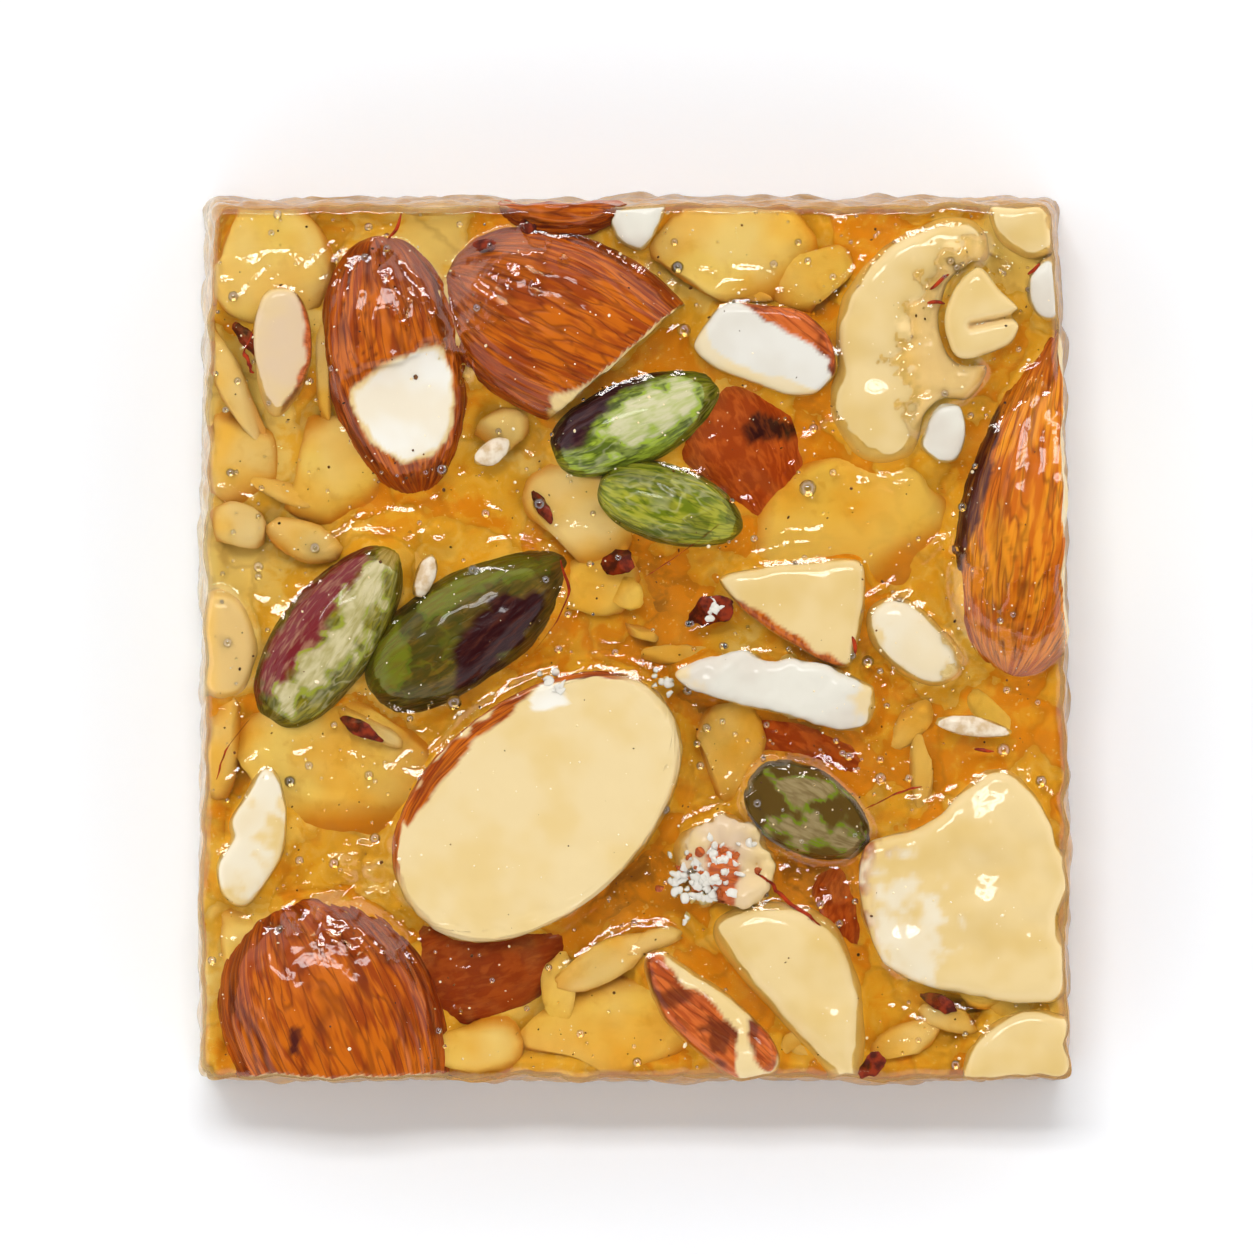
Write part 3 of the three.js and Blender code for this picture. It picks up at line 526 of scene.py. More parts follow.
def shown_piece(name, points, faces, masks, finish, node=None):
    """A piece of the scene from points in millimetres, with one number a point for each mask."""
    mesh = bpy.data.meshes.new(name)
    mesh.from_pydata((np.asarray(points) + SLAB_MIDDLE) * MM, [], faces)
    if mesh.validate():
        raise RuntimeError(f"{name} has faces that can't be used")
    for mask, values in masks.items():
        wide = np.ndim(values) == 2
        layer = mesh.attributes.new(mask, "FLOAT_VECTOR" if wide else "FLOAT", "POINT")
        layer.data.foreach_set("vector" if wide else "value", np.ravel(values).astype(np.float32))
    mesh.shade_smooth()
    mesh.materials.append(finish)
    piece = bpy.data.objects.new(name, mesh)
    bpy.context.scene.collection.objects.link(piece)
    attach(piece, BODY)
    if node:
        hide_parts(node)
    return piece


def rings_closed(rings, around):
    """Faces over a number of rings of points that follow a first pole and come before a last one."""
    ring, spot = np.meshgrid(np.arange(rings - 1), np.arange(around), indexing="ij")
    here = 1 + ring * around + spot
    beside = 1 + ring * around + (spot + 1) % around
    quads = np.stack([here, beside, beside + around, here + around], axis=-1).reshape(-1, 4).tolist()
    spots = np.arange(around)
    after = (spots + 1) % around
    last = 1 + rings * around
    top = last - around
    first_cap = np.stack([np.zeros(around, int), 1 + after, 1 + spots], axis=1).tolist()
    last_cap = np.stack([np.full(around, last), top + spots, top + after], axis=1).tolist()
    return quads + first_cap + last_cap


def swell_along(t, spec):
    """The share of its half width that a kernel has at t of its length."""
    full, point = spec["fullness"], spec["point"]
    widest = full / (full + point)
    return t ** full * (1 - t) ** point / (widest ** full * (1 - widest) ** point)


# Points round and along a kernel, for each step of its size
AROUND_SHARE, ALONG_SHARE = 2.4, 1.15


def kernel_rings(spec, step):
    """A kernel along X with its crown at z = 0: points, outward directions, angle, share of the length, faces."""
    around = int(AROUND_SHARE * (spec["width"] + spec["thickness"]) / 2 / step)
    along = int(ALONG_SHARE * spec["length"] / step)
    angle = 2 * np.pi * (np.arange(around) + 0.5) / around
    t = (1 - np.cos(np.pi * np.arange(1, along) / along)) / 2
    swell = swell_along(t, spec)[:, None]
    boxy = lambda share: np.sign(share) * np.abs(share) ** BOXY
    middle = spec.get("split", 0) - spec["thickness"] / 2
    across = swell * boxy(np.cos(angle)) * spec["width"] / 2
    up = middle + swell * boxy(np.sin(angle)) * spec["thickness"] / 2
    reach = spec["length"] / 2
    rings = np.stack([np.broadcast_to(reach * (2 * t - 1)[:, None], across.shape), across, up], axis=-1)
    beside = np.roll(rings, -1, axis=1) - np.roll(rings, 1, axis=1)
    out = np.cross(beside, np.gradient(rings, axis=0))
    out /= np.linalg.norm(out, axis=-1, keepdims=True) + TINY
    out *= np.sign(np.sum(out * (rings - [0, 0, middle]), axis=-1, keepdims=True).sum())
    poles = np.array([[-reach, 0, middle], [reach, 0, middle]])
    wrap = lambda first, grid, last: np.concatenate([[first], grid.reshape((-1,) + grid.shape[2:]), [last]])
    points = wrap(poles[0], rings, poles[1])
    outward = wrap([-1, 0, 0], out, [1, 0, 0])
    angles = wrap(0, np.broadcast_to(angle, across.shape), 0)
    shares = wrap(0, np.broadcast_to(t[:, None], across.shape), 1)
    return points, outward, angles, shares, rings_closed(along - 1, around)


# Ribs of the skin: their number, how wide the grooves' lines and hollows of painted shade are, and where they fade at
# the tips
RIBS = {"almond": 19, "pistachio": 13}
GROOVE_WIDTHS = (0.15, 0.55)
TIP_FADE = 0.06
# How the ribs stray on the way: radians, half waves from tip to tip, and share of the random start
RIB_STRAYS = [(0.13, 2.6, 1), (0.06, 6.1, 2)]


def skin_ribs(angles, shares, seed, number):
    """Ribs that run from tip to tip: painted shade that is 1 down between the ribs and 0 on a rib, and how high the
    skin stands.
    """
    radius = number / np.pi
    stray = sum(reach * np.sin(waves * np.pi * shares + start * seed) for reach, waves, start in RIB_STRAYS)
    ring = np.stack([radius * np.cos(angles + stray), radius * np.sin(angles + stray), 1.2 * shares + seed], axis=1)
    coarse = lumps(ring, 1.0)
    fine = lumps(ring * [2.1, 2.1, 1.3] + 5.1, 1.0)
    strength = 0.6 + 0.4 * lumps(ring * [1, 1, 2.5] + 8.7, 2.0)
    fade = ease(0.0, TIP_FADE, shares) * ease(0.0, TIP_FADE, 1 - shares)
    line, hollow_shade = (1 - ease(0.0, wide, np.abs(coarse)) for wide in GROOVE_WIDTHS)
    groove = (0.6 * line + 0.4 * hollow_shade) * strength * fade
    height = (0.7 * np.abs(coarse) + 0.25 * np.abs(fine)) * fade - 0.6 * groove
    return groove, height


# How far past the slab's side a cut nut ends: proud of it, or just behind its sugar
CUT_PROUD = 0.06
CUT_BEHIND = -0.22


def side_walls(points):
    """How far from the slab's middle its broken sides stand, across and along, level with each point."""
    x, y, z = points[:, 0], points[:, 1], np.minimum(points[:, 2], SLAB_HEIGHT)
    side_x = np.where(x > 0, 1, -1) * SLAB_WIDTH / 2
    side_y = np.where(y > 0, 1, -1) * SLAB_LENGTH / 2
    across = np.abs(drawn_in(side_x, y)) * (leaned_in(y, z) + 2 * side_crag(side_x, y, z) / SLAB_WIDTH)
    along = SLAB_LENGTH / 2 * (leaned_in(side_y, z) + 2 * side_crag(x, side_y, z) / SLAB_WIDTH)
    return np.stack([across, along], axis=1)


def knife_cut(points, reach):
    """Points held inside the slab's sides, out to a reach past them, and how far each was moved."""
    walls = side_walls(points) + reach
    held = points.copy()
    held[:, :2] = np.clip(points[:, :2], -walls, walls)
    over = np.maximum(0, np.abs(held[:, :2]) - (walls - CORNER))
    share = CORNER / np.maximum(np.linalg.norm(over, axis=1, keepdims=True), CORNER)
    held[:, :2] -= np.sign(held[:, :2]) * over * (1 - share)
    return held, np.linalg.norm(held - points, axis=1)


# Depth of a pistachio's folds, roughness of a cut, slant of a chip's edge, and how far a cut goes to bare the flesh
FOLD_DEPTH = 0.11
CUT_ROUGH = 0.05
CHIP_SLANT = 0.28
SKIN_EDGE = (0.01, 0.16)


def kernel_piece(name, spec, seed, step, rib):
    """A kernel in place on the slab: points, faces and masks."""
    points, outward, angles, shares, faces = kernel_rings(spec, step)
    groove, height = skin_ribs(angles, shares, seed, RIBS[spec["kind"]])
    if spec["kind"] == "almond":
        points = points + outward * (rib * height + 0.2 * rib * grain(points + seed, 0.7, 2))[:, None]
    else:
        folds = grain(points * [0.5, 1, 1] + seed, 1.6, 3)
        points = points + outward * (0.6 * rib * height + FOLD_DEPTH * folds)[:, None]
        # Painted shade in the deepest folds, added to the grooves
        groove = np.clip(groove * 0.6 + 0.5 * (folds < -0.1), 0, 1)
    wide = (spec["width"] + spec["thickness"]) / 4
    local = np.stack([wide * np.cos(angles), wide * np.sin(angles), spec["length"] * shares], axis=1) + 11 * seed
    moved = np.zeros(len(points))
    rough = CUT_ROUGH * grain(points + seed, 1.5)
    if spec.get("split"):
        flat = np.minimum(points[:, 2], rough)
        moved = np.maximum(moved, points[:, 2] - flat)
        points[:, 2] = flat
    if spec.get("chip"):
        depth, start = spec["chip"]
        edge = start + 0.5 * grain(points * [0, 1, 0] + seed, 2.0) - CHIP_SLANT * points[:, 1]
        flat = np.where(points[:, 0] > edge, np.minimum(points[:, 2], -depth + rough), points[:, 2])
        moved = np.maximum(moved, points[:, 2] - flat)
        points[:, 2] = flat
    if spec.get("cut"):
        x, y, facing = spec["cut"]
        ahead = np.array([math.cos(math.radians(facing)), math.sin(math.radians(facing)), 0])
        past = np.maximum((points - [x, y, 0]) @ ahead - 3 * rough, 0)
        points = points - past[:, None] * ahead
        moved = np.maximum(moved, past)
    lean = Euler([math.radians(spec.get(axis, 0)) for axis in ("roll", "pitch", "turn")], "XYZ").to_matrix()
    points = points @ np.array(lean).T + [*spec["at"], SLAB_HEIGHT + spec["rise"]]
    points, off = knife_cut(points, CUT_BEHIND if spec.get("covered") else CUT_PROUD)
    moved = np.maximum(moved, off)
    skin = np.ones(len(points)) if spec.get("skinned") else 1 - ease(*SKIN_EDGE, moved)
    masks = patch_masks(name, points)
    if spec.get("peel"):
        way_x, way_y, start = spec["peel"]
        aside = (points[:, 0] - spec["at"][0]) * way_x + (points[:, 1] - spec["at"][1]) * way_y
        skin = skin * ease(start - 1, start + 1, aside)
    if "flesh" in masks:
        bare = 1 - masks.pop("flesh")
        skin = bare if spec.get("chip") else np.minimum(skin, bare)
    masks["skin"] = np.maximum(skin, masks.get("skin", 0))
    blank = np.zeros(len(points))
    return points, faces, {"dark": blank, "pale": blank, "groove": groove, "along": local, **masks}


# Share of fine roughness on a broken piece, and the heights between which its flanks under the sugar, lying in shade,
# get painted fill light, with the soft edge of that fill under a film of syrup
FINE_ROUGH = {"cashew": 0.12, "almond_flesh": 0.5, "coconut": 0.5}
PAINTED_FILL_FROM, PAINTED_FILL_BELOW = SLAB_HEIGHT + 0.25, SLAB_HEIGHT - 0.5
PAINTED_FILL_SOFT = 1.2


def worn_piece(name, spec, voxel):
    """A node's solid, evened out and worn: points, faces and masks."""
    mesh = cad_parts[name].data.copy()
    mesh.transform(Matrix.Scale(1 / MM, 4))
    block = bpy.data.objects.new("block", mesh)
    bpy.context.scene.collection.objects.link(block)
    even = block.modifiers.new("even", "REMESH")
    even.mode = "VOXEL"
    even.voxel_size = voxel
    wear = block.modifiers.new("wear", "SMOOTH")
    wear.factor = 0.5
    wear.iterations = spec["worn"]
    block.modifiers.new("fine", "SUBSURF").levels = 1
    done = bpy.data.meshes.new_from_object(block.evaluated_get(bpy.context.evaluated_depsgraph_get()))
    points = np.empty(len(done.vertices) * 3)
    outward = np.empty(len(done.vertices) * 3)
    done.vertices.foreach_get("co", points)
    done.vertices.foreach_get("normal", outward)
    points = points.reshape(-1, 3) - SLAB_MIDDLE
    outward = outward.reshape(-1, 3)
    faces = [list(face.vertices) for face in done.polygons]
    bpy.data.objects.remove(block)
    for spare in (mesh, done):
        bpy.data.meshes.remove(spare)
    fine = FINE_ROUGH[spec["kind"]] * grain(points + 3.1, 0.8, 2)
    bumps = spec["rough"] * (grain(points, 2.6, 2) + fine)
    local = turned(points, -spec.get("way", 0))
    points, _ = knife_cut(points + outward * bumps[:, None], CUT_BEHIND)
    masks = patch_masks(name, points)
    blank = np.zeros(len(points))
    # Painted shade in the hollows of the bumps, which shows where the piece carries skin
    hollow_shade = ease(0.0, 1.0, -bumps / spec["rough"])
    # Painted fill light on the flanks under the sugar, which lie in shade, and under the films of syrup
    below = ease(PAINTED_FILL_FROM, PAINTED_FILL_BELOW, points[:, 2])
    # A cleft is sunk into the top and takes the painted fill light as well
    if spec.get("cleft"):
        line, half, depth = spec["cleft"]
        cleft = np.exp(-(near_line(points[:, 0], points[:, 1], line) / half) ** 2) * (outward[:, 2] > 0)
        points[:, 2] -= depth * cleft
        below = np.maximum(below, cleft)
    for flooded, _, _, outline in FLOODS:
        if flooded == name:
            below = np.maximum(below, inside_patch(points, outline, PAINTED_FILL_SOFT))
    return points, faces, {"skin": blank, "dark": blank, "pale": blank, "groove": hollow_shade, "below": below,
                           "along": local, **masks}


# Lumps: swell, unevenness, where flats cut them, and points round and along (the fewest, and a share for each step)
LUMP = dict(fullness=0.5, point=0.5)
LUMP_UNEVEN = 0.16
FLAT_AT = (0.5, 0.85)
LUMP_POINTS = ((16, 3.0), (10, 1.5))


def lump_rings(size, seed, flats, step):
    """A rounded, broken lump about its own middle: points and faces."""
    longest = max(size)
    around, along = (max(fewest, int(share * longest / 2 / step)) for fewest, share in LUMP_POINTS)
    angle = 2 * np.pi * np.arange(around) / around
    t = (1 - np.cos(np.pi * np.arange(1, along) / along)) / 2
    swell = swell_along(t, LUMP)[:, None]
    rings = np.stack([np.broadcast_to((2 * t - 1)[:, None], (along - 1, around)),
                      swell * np.cos(angle), swell * np.sin(angle)], axis=-1).reshape(-1, 3)
    points = np.concatenate([[[-1, 0, 0]], rings, [[1, 0, 0]]])
    draw = np.random.default_rng(seed)
    for _ in range(flats):
        facing = draw.normal(size=3)
        facing /= np.linalg.norm(facing)
        past = np.maximum(points @ facing - draw.uniform(*FLAT_AT), 0)
        points = points - past[:, None] * facing
    points = points * (1 + LUMP_UNEVEN * grain(points + seed, 0.9, 3))[:, None]
    return points * np.array(size) / 2, rings_closed(along - 1, around)


def turned(points, degrees):
    """Points turned about the upright."""
    c, s = math.cos(math.radians(degrees)), math.sin(math.radians(degrees))
    return points @ np.array([[c, s, 0], [-s, c, 0], [0, 0, 1]])


class Heap:
    """Like pieces gathered into one mesh."""

    def __init__(self):
        self.points, self.faces, self.masks, self.count = [], [], {}, 0

    def add(self, points, faces, masks=None):
        """Adds one piece."""
        self.points.append(points)
        self.faces += [[i + self.count for i in face] for face in faces]
        self.count += len(points)
        for mask, values in (masks or {}).items():
            self.masks.setdefault(mask, []).append(np.broadcast_to(values, np.shape(values) or (len(points),)))

    def show(self, name, finish, slot):
        """The one piece that they make."""
        masks = {mask: np.concatenate(values) for mask, values in self.masks.items()}
        return shown_piece(name, np.concatenate(self.points), self.faces, masks, finish)


# Materials

class Nodes:
    """A tree of plain parts. What a part gives out can go into another part's socket."""

    def __init__(self, owner):
        owner.use_nodes = True
        self.tree = owner.node_tree

    def set(self, node, values):
        """Fills a part's sockets with numbers, colours or what other parts give out."""
        for socket, value in values.items():
            if isinstance(value, bpy.types.NodeSocket):
                self.tree.links.new(value, node.inputs[socket])
            else:
                node.inputs[socket].default_value = value

    def part(self, kind, values=None, **options):
        """One node, with its options and sockets filled."""
        node = self.tree.nodes.new(kind)
        for option, value in options.items():
            setattr(node, option, value)
        self.set(node, values or {})
        return node

    def fit(self, value, low, high, to_low=0.0, to_high=1.0):
        """A number between low and high, brought between two others."""
        return self.part("ShaderNodeMapRange", {0: value, 1: low, 2: high, 3: to_low, 4: to_high},
                         interpolation_type="SMOOTHSTEP").outputs[0]

    def sum(self, operation, a, b):
        """Two numbers put together."""
        return self.part("ShaderNodeMath", {0: a, 1: b}, operation=operation).outputs[0]


class Finish(Nodes):
    """A material built from plain parts."""

    def __init__(self, name):
        self.material = bpy.data.materials.new(name)
        super().__init__(self.material)
        self.shader = self.tree.nodes["Principled BSDF"]
        place = self.part("ShaderNodeTexCoord").outputs["Object"]
        self.place = self.scaled(place, (1 / MM,) * 3)

    def scaled(self, place, share):
        """A place with each axis multiplied by a share."""
        return self.part("ShaderNodeVectorMath", {0: place, 1: share}, operation="MULTIPLY").outputs[0]

    def look(self, **values):
        """Fills the shader's own sockets. An underscore stands for a space."""
        self.set(self.shader, {socket.replace("_", " "): value for socket, value in values.items()})

    def mask(self, name):
        """One of the numbers that the mesh carries."""
        return self.part("ShaderNodeAttribute", attribute_name=name).outputs["Fac"]

    def along(self):
        """Where a point lies on its own nut, in millimetres."""
        return self.part("ShaderNodeAttribute", attribute_name="along").outputs["Vector"]

    def noise(self, size, detail=4, stretch=None, place=None, bend=0.0):
        """Noise with lumps of a size in millimetres, drawn out by stretch along each axis."""
        place = place or self.place
        if stretch:
            place = self.scaled(place, tuple(1 / s for s in stretch))
        return self.part("ShaderNodeTexNoise", {"Vector": place, "Scale": 1 / size, "Detail": detail,
                                                "Distortion": bend}).outputs["Fac"]

    def mix(self, share, a, b):
        """Two colours, by a share of the second."""
        return self.part("ShaderNodeMix", {0: share, 6: a, 7: b}, data_type="RGBA").outputs[2]

    def lines(self, value, width):
        """1 along the thin lines where a noise crosses its middle, and 0 away from them."""
        off = self.sum("ABSOLUTE", self.sum("SUBTRACT", value, 0.5), 0.0)
        return self.fit(off, 0.0, width, 1.0, 0.0)

    def bump(self, height, depth, strength=1.0):
        """Relief of a depth in millimetres."""
        return self.part("ShaderNodeBump", {"Height": height, "Distance": depth * MM,
                                            "Strength": strength}).outputs["Normal"]


SUNK_MOTTLE = linear("E0AC50")
DARK_SKIN = linear("4E1C14")


def nut_finish(name, bare, bare_deep, skin, skin_deep, groove, dark, pale, fibre=(1, 1, 1), syrup=0.5, gloss=0.42,
               lined=0.0, veined=0.0, worn=None, rim=None, mottled=0.0, flank_shading=None, flank_shading_share=0.0):
    """A nut: its bare flesh, its skin with fine lines and grooves darkened by painted shade, patches of a dark and a
    pale colour, and a painted colour on its flanks under the sugar that stands in for the light and shade there.
    """
    f = Finish(name)
    along = f.along()
    cloud = f.noise(4.4, 2)
    fibres = f.noise(0.32, 2, stretch=fibre, place=along, bend=0.3)
    crease = f.lines(f.noise(0.5, 1, stretch=fibre, place=along, bend=0.3), 0.06)
    on_skin = f.mask("skin")
    inner = f.mix(f.fit(cloud, 0.36, 0.68), bare, bare_deep)
    if mottled:
        inner = f.mix(f.fit(f.noise(1.0, 3, bend=0.4), 0.5, 0.72, 0.0, mottled), inner, SUNK_MOTTLE)
    outer = f.mix(f.fit(f.sum("ADD", cloud, f.fit(fibres, 0.3, 0.7, -0.22, 0.22)), 0.3, 0.7), skin, skin_deep)
    # Painted shade: the creases and the grooves between the ribs darkened towards the colour for the grooves
    outer = f.mix(f.sum("MULTIPLY", crease, lined), outer, groove)
    outer = f.mix(f.fit(f.mask("groove"), 0.1, 0.95, 0.0, 0.75), outer, groove)
    if veined:
        vein = f.lines(f.noise(1.3, 2, stretch=(1, 1, 1.8), place=along, bend=0.5), 0.06)
        outer = f.mix(f.sum("MULTIPLY", f.sum("MULTIPLY", vein, f.fit(cloud, 0.4, 0.6)), veined), outer, pale)
    through = f.fit(fibres, 0.45, 0.75, 0.0, 0.55 if worn else 0.3)
    outer = f.mix(f.mask("dark"), outer, f.mix(through, dark, worn or skin))
    shade = f.mix(on_skin, inner, outer)
    patch = f.mask("pale")
    if rim:
        edge = f.sum("MULTIPLY", f.fit(patch, 0.02, 0.35), f.fit(patch, 0.45, 0.95, 1.0, 0.0))
        shade = f.mix(patch, shade, f.mix(f.fit(fibres, 0.35, 0.75, 0.0, 0.6), pale, bare_deep))
        shade = f.mix(f.sum("MULTIPLY", edge, f.fit(fibres, 0.36, 0.6, 0.0, 0.9)), shade, rim)
    else:
        shade = f.mix(patch, shade, f.mix(f.fit(cloud, 0.35, 0.7, 0.0, 0.35), pale, bare_deep))
    # Painted light and shade on the flanks under the sugar: the below mask brings in the colour for the flanks
    if flank_shading:
        shade = f.mix(f.sum("MULTIPLY", f.mask("below"), flank_shading_share), shade, flank_shading)
    f.look(Base_Color=shade, Roughness=f.fit(fibres, 0.3, 0.7, gloss - 0.08, gloss + 0.12), Specular_IOR_Level=0.1,
           Coat_Weight=syrup, Coat_Roughness=0.05, Coat_IOR=1.48, IOR=1.45)
    if syrup:
        relief = f.sum("SUBTRACT", f.sum("MULTIPLY", fibres, 0.6), f.sum("MULTIPLY", crease, lined))
        relief = f.sum("ADD", f.sum("MULTIPLY", relief, on_skin), f.sum("MULTIPLY", cloud, 0.6))
        f.look(Normal=f.bump(relief, 0.08, 0.8))
    return f.material


def brown_skin(nuts):
    """Almond skin: on its ribs, between them, in its grooves as painted shade, and where it is dark."""
    return nuts.skin, nuts.skin_deep, nuts.skin_groove_shade, DARK_SKIN


def almond_finish(nuts, look):
    """Almond in its skin, brown or a lighter amber."""
    skin, deep = (nuts.amber_skin, nuts.skin) if look == "amber" else (nuts.skin, nuts.skin_deep)
    return nut_finish(f"Almond skin {look or 'brown'}", nuts.flesh, nuts.flesh_deep, skin, deep, nuts.skin_groove_shade,
                      DARK_SKIN, linear("EFEBE0"), fibre=(1, 1, 9), lined=0.45)


def sunk_almond_finish(nuts):
    """Almond in its skin under the sugar."""
    # The deep sunk skin also serves as painted shade in the grooves
    return nut_finish("Sunk almond skin", nuts.flesh, nuts.flesh_deep, nuts.sunk_skin, nuts.sunk_skin_deep,
                      nuts.sunk_skin_deep, linear("3A1014"), nuts.flesh, fibre=(1, 1, 3), syrup=0.0, lined=0.15)


def flesh_finish(nuts, look="ivory"):
    """Almond flesh, with scraps of skin."""
    sunk = look == "sunk"
    bare, deep, pale = {
        "ivory": (nuts.flesh, nuts.flesh_deep, nuts.flesh),
        "white": (nuts.white_flesh, linear("D9D3C6"), nuts.flesh),
        "rosy": (nuts.rosy_flesh, nuts.flesh_deep, nuts.rosy_flesh),
        # A lighter copy for flesh under the sugar: painted light that makes up for the light the sugar holds back
        "sunk": (nuts.sunk_flesh, nuts.sunk_cashew_deep, linear("FFF0D8")),
    }[look]
    # For the flanks under the sugar: painted shade on sunk flesh, painted fill light on the rest
    return nut_finish(f"Almond flesh {look}", bare, deep, nuts.sunk_skin, nuts.sunk_skin_deep, nuts.skin_groove_shade,
                      DARK_SKIN, pale, fibre=(7, 1, 1), syrup=0.0 if sunk else 0.35, lined=0.4,
                      mottled=0.2 if sunk else 0.0, flank_shading=linear("E8A440" if sunk else "FFD48C"), flank_shading_share=0.85)


# Its colours are lighter copies of the cashew's: painted light that makes up for the light the sugar holds back
def sunk_cashew_finish(nuts):
    """Cashew under the sugar."""
    # For the lower flanks of the sunk cashews: painted shade in a darker amber
    return nut_finish("Sunk cashew", nuts.sunk_cashew, nuts.sunk_cashew_deep, *brown_skin(nuts), linear("FFF0C4"),
                      fibre=(1, 3, 1), syrup=0.0, mottled=0.3, flank_shading=linear("E8A030"), flank_shading_share=0.85)


def cashew_finish(nuts):
    """Cashew."""
    # For the flanks under the sugar, which lie in shade: painted fill light
    return nut_finish("Cashew", nuts.cashew, nuts.cashew_deep, *brown_skin(nuts), linear("E8DCC2"),
                      fibre=(1, 3, 1), syrup=0.6, gloss=0.36, flank_shading=linear("FFDE9E"), flank_shading_share=0.9)


def coconut_finish(nuts):
    """Coconut."""
    # For the flanks under the sugar, which lie in shade: painted fill light
    return nut_finish("Coconut", nuts.coconut, nuts.coconut_deep, *brown_skin(nuts), nuts.cashew,
                      fibre=(1, 4, 1), syrup=0.3, flank_shading=linear("FFE4B0"), flank_shading_share=0.85)


# Pistachio finishes: green, its folds, skin, where the skin has gone, what shows through worn skin, and its rim
PISTACHIO_LOOKS = {
    "bright": ("A2A030", "687410", "46121C", "C8C290", "8E7A3A", "A0A430"),
    "rimmed": ("98AA34", "58681A", "32121A", "CEC8A0", "5E3A34", "9CB42E"),
    "purple": ("8A7E18", "68600E", "742226", "CBBF92", "B48A68", "92982A"),
    "dusky": ("6E5418", "50400E", "2E0A0C", "6C7018", "5A2A1A", "586410"),
    "cut": ("665022", "4A3A12", "46121C", "AFA288", "6A5A3A", "7A9E1C"),
}


def pistachio_finish(look):
    """Pistachio, green with pale veins and purple skin."""
    green, folds, purple, pale, worn, rim = (linear(code) for code in PISTACHIO_LOOKS[look])
    # Dark olive 343C0C is painted shade in the grooves and folds
    return nut_finish(f"Pistachio {look}", green if look == "cut" else pale, green, green, folds, linear("343C0C"),
                      purple, pale, fibre=(1, 1, 4), syrup=0.35, gloss=0.36, lined=0.35, veined=0.35, worn=worn,
                      rim=rim)


def sugar_finish(sugar):
    """Clear amber sugar: glossy on top, paler over a nut that lies close under it, frosted on its broken sides."""
    f = Finish("Amber sugar")
    frost, depth = f.mask("frost"), f.mask("deep")
    deep = f.fit(depth, 0.0, 1.0)
    ripple = f.noise(1.3, 3)
    haze = f.sum("MULTIPLY", deep, f.fit(f.noise(2.2, 2, bend=0.8), 0.45, 0.7, 0.0, 0.04))
    tint = f.mix(f.fit(depth, -1.0, 0.0, 1.0, 0.0), f.mix(deep, sugar.shallow, sugar.clear), sugar.thin)
    uneven = f.bump(f.sum("MULTIPLY", ripple, f.fit(frost, 0.0, 1.0, 1.0, 2.4)), 0.17, 0.75)
    crystals = f.fit(ripple, 0.3, 0.72)
    pale_side = f.mix(f.fit(crystals, 0.0, 1.0, 0.5, 1.0), sugar.frost, sugar.frost_pale)
    side = f.mix(deep, pale_side, f.mix(crystals, sugar.frost_deep, sugar.frost))
    clear = f.sum("SUBTRACT", f.sum("SUBTRACT", 1.0, haze), f.sum("MULTIPLY", frost, 0.45))
    f.look(Base_Color=f.mix(frost, tint, side), Roughness=f.fit(frost, 0.0, 1.0, 0.03, 0.28),
           Transmission_Weight=clear, Normal=uneven, Coat_Normal=uneven, IOR=1.16, Coat_IOR=1.5,
           Coat_Weight=f.fit(frost, 0.0, 1.0, 1.0, 0.6), Coat_Roughness=0.02)
    return f.material


def cloud_finish(sugar):
    """Cloudy sugar under the clear, in shards of straw, yellow, gold and brown."""
    f = Finish("Cloudy sugar")
    close = f.noise(1.6, 4, bend=0.5)
    bent = f.part("ShaderNodeTexNoise", {"Vector": f.place, "Scale": 0.3, "Detail": 3.0}).outputs["Color"]
    bent = f.scaled(bent, (4.5, 4.5, 4.5))
    bent = f.part("ShaderNodeVectorMath", {0: bent, 1: f.place}, operation="ADD").outputs[0]
    shards = {"Vector": bent, "Scale": 0.19}
    shard = f.part("ShaderNodeTexVoronoi", shards).outputs["Color"]
    seam = f.part("ShaderNodeTexVoronoi", shards, feature="DISTANCE_TO_EDGE").outputs["Distance"]
    tone = f.part("ShaderNodeSeparateColor", {0: shard}).outputs[0]
    tone = f.sum("ADD", f.fit(tone, 0.0, 1.0, 0.29, 0.67), f.fit(close, 0.35, 0.65, -0.12, 0.12))
    tone = f.sum("ADD", tone, f.sum("MULTIPLY", f.mask("tone"), 0.4))
    shade = f.mix(f.fit(tone, 0.1, 0.35), sugar.straw, sugar.yellow)
    shade = f.mix(f.fit(tone, 0.35, 0.62), shade, sugar.gold)
    shade = f.mix(f.fit(tone, 0.7, 1.0), shade, sugar.brown)
    shade = f.mix(f.fit(seam, 0.0, 0.09, 0.28, 0.0), shade, sugar.brown)
    shade = f.mix(f.fit(f.noise(0.3, 1), 0.66, 0.76, 0.0, 0.6), shade, sugar.straw)
    f.look(Base_Color=shade, Roughness=f.fit(close, 0.3, 0.7, 0.45, 0.7))
    return f.material


def bubble_finish(sugar):
    """A bubble in the sugar."""
    f = Finish("Sugar bubble")
    f.look(Base_Color=f.mix(f.fit(f.noise(6.0, 2), 0.4, 0.6), linear("FFFAEC"), sugar.shallow),
           Roughness=f.fit(f.noise(0.2, 2), 0.3, 0.7, 0.01, 0.04), Transmission_Weight=1.0, IOR=1.5,
           Coat_Weight=1.0, Coat_IOR=1.9, Coat_Roughness=0.03)
    return f.material


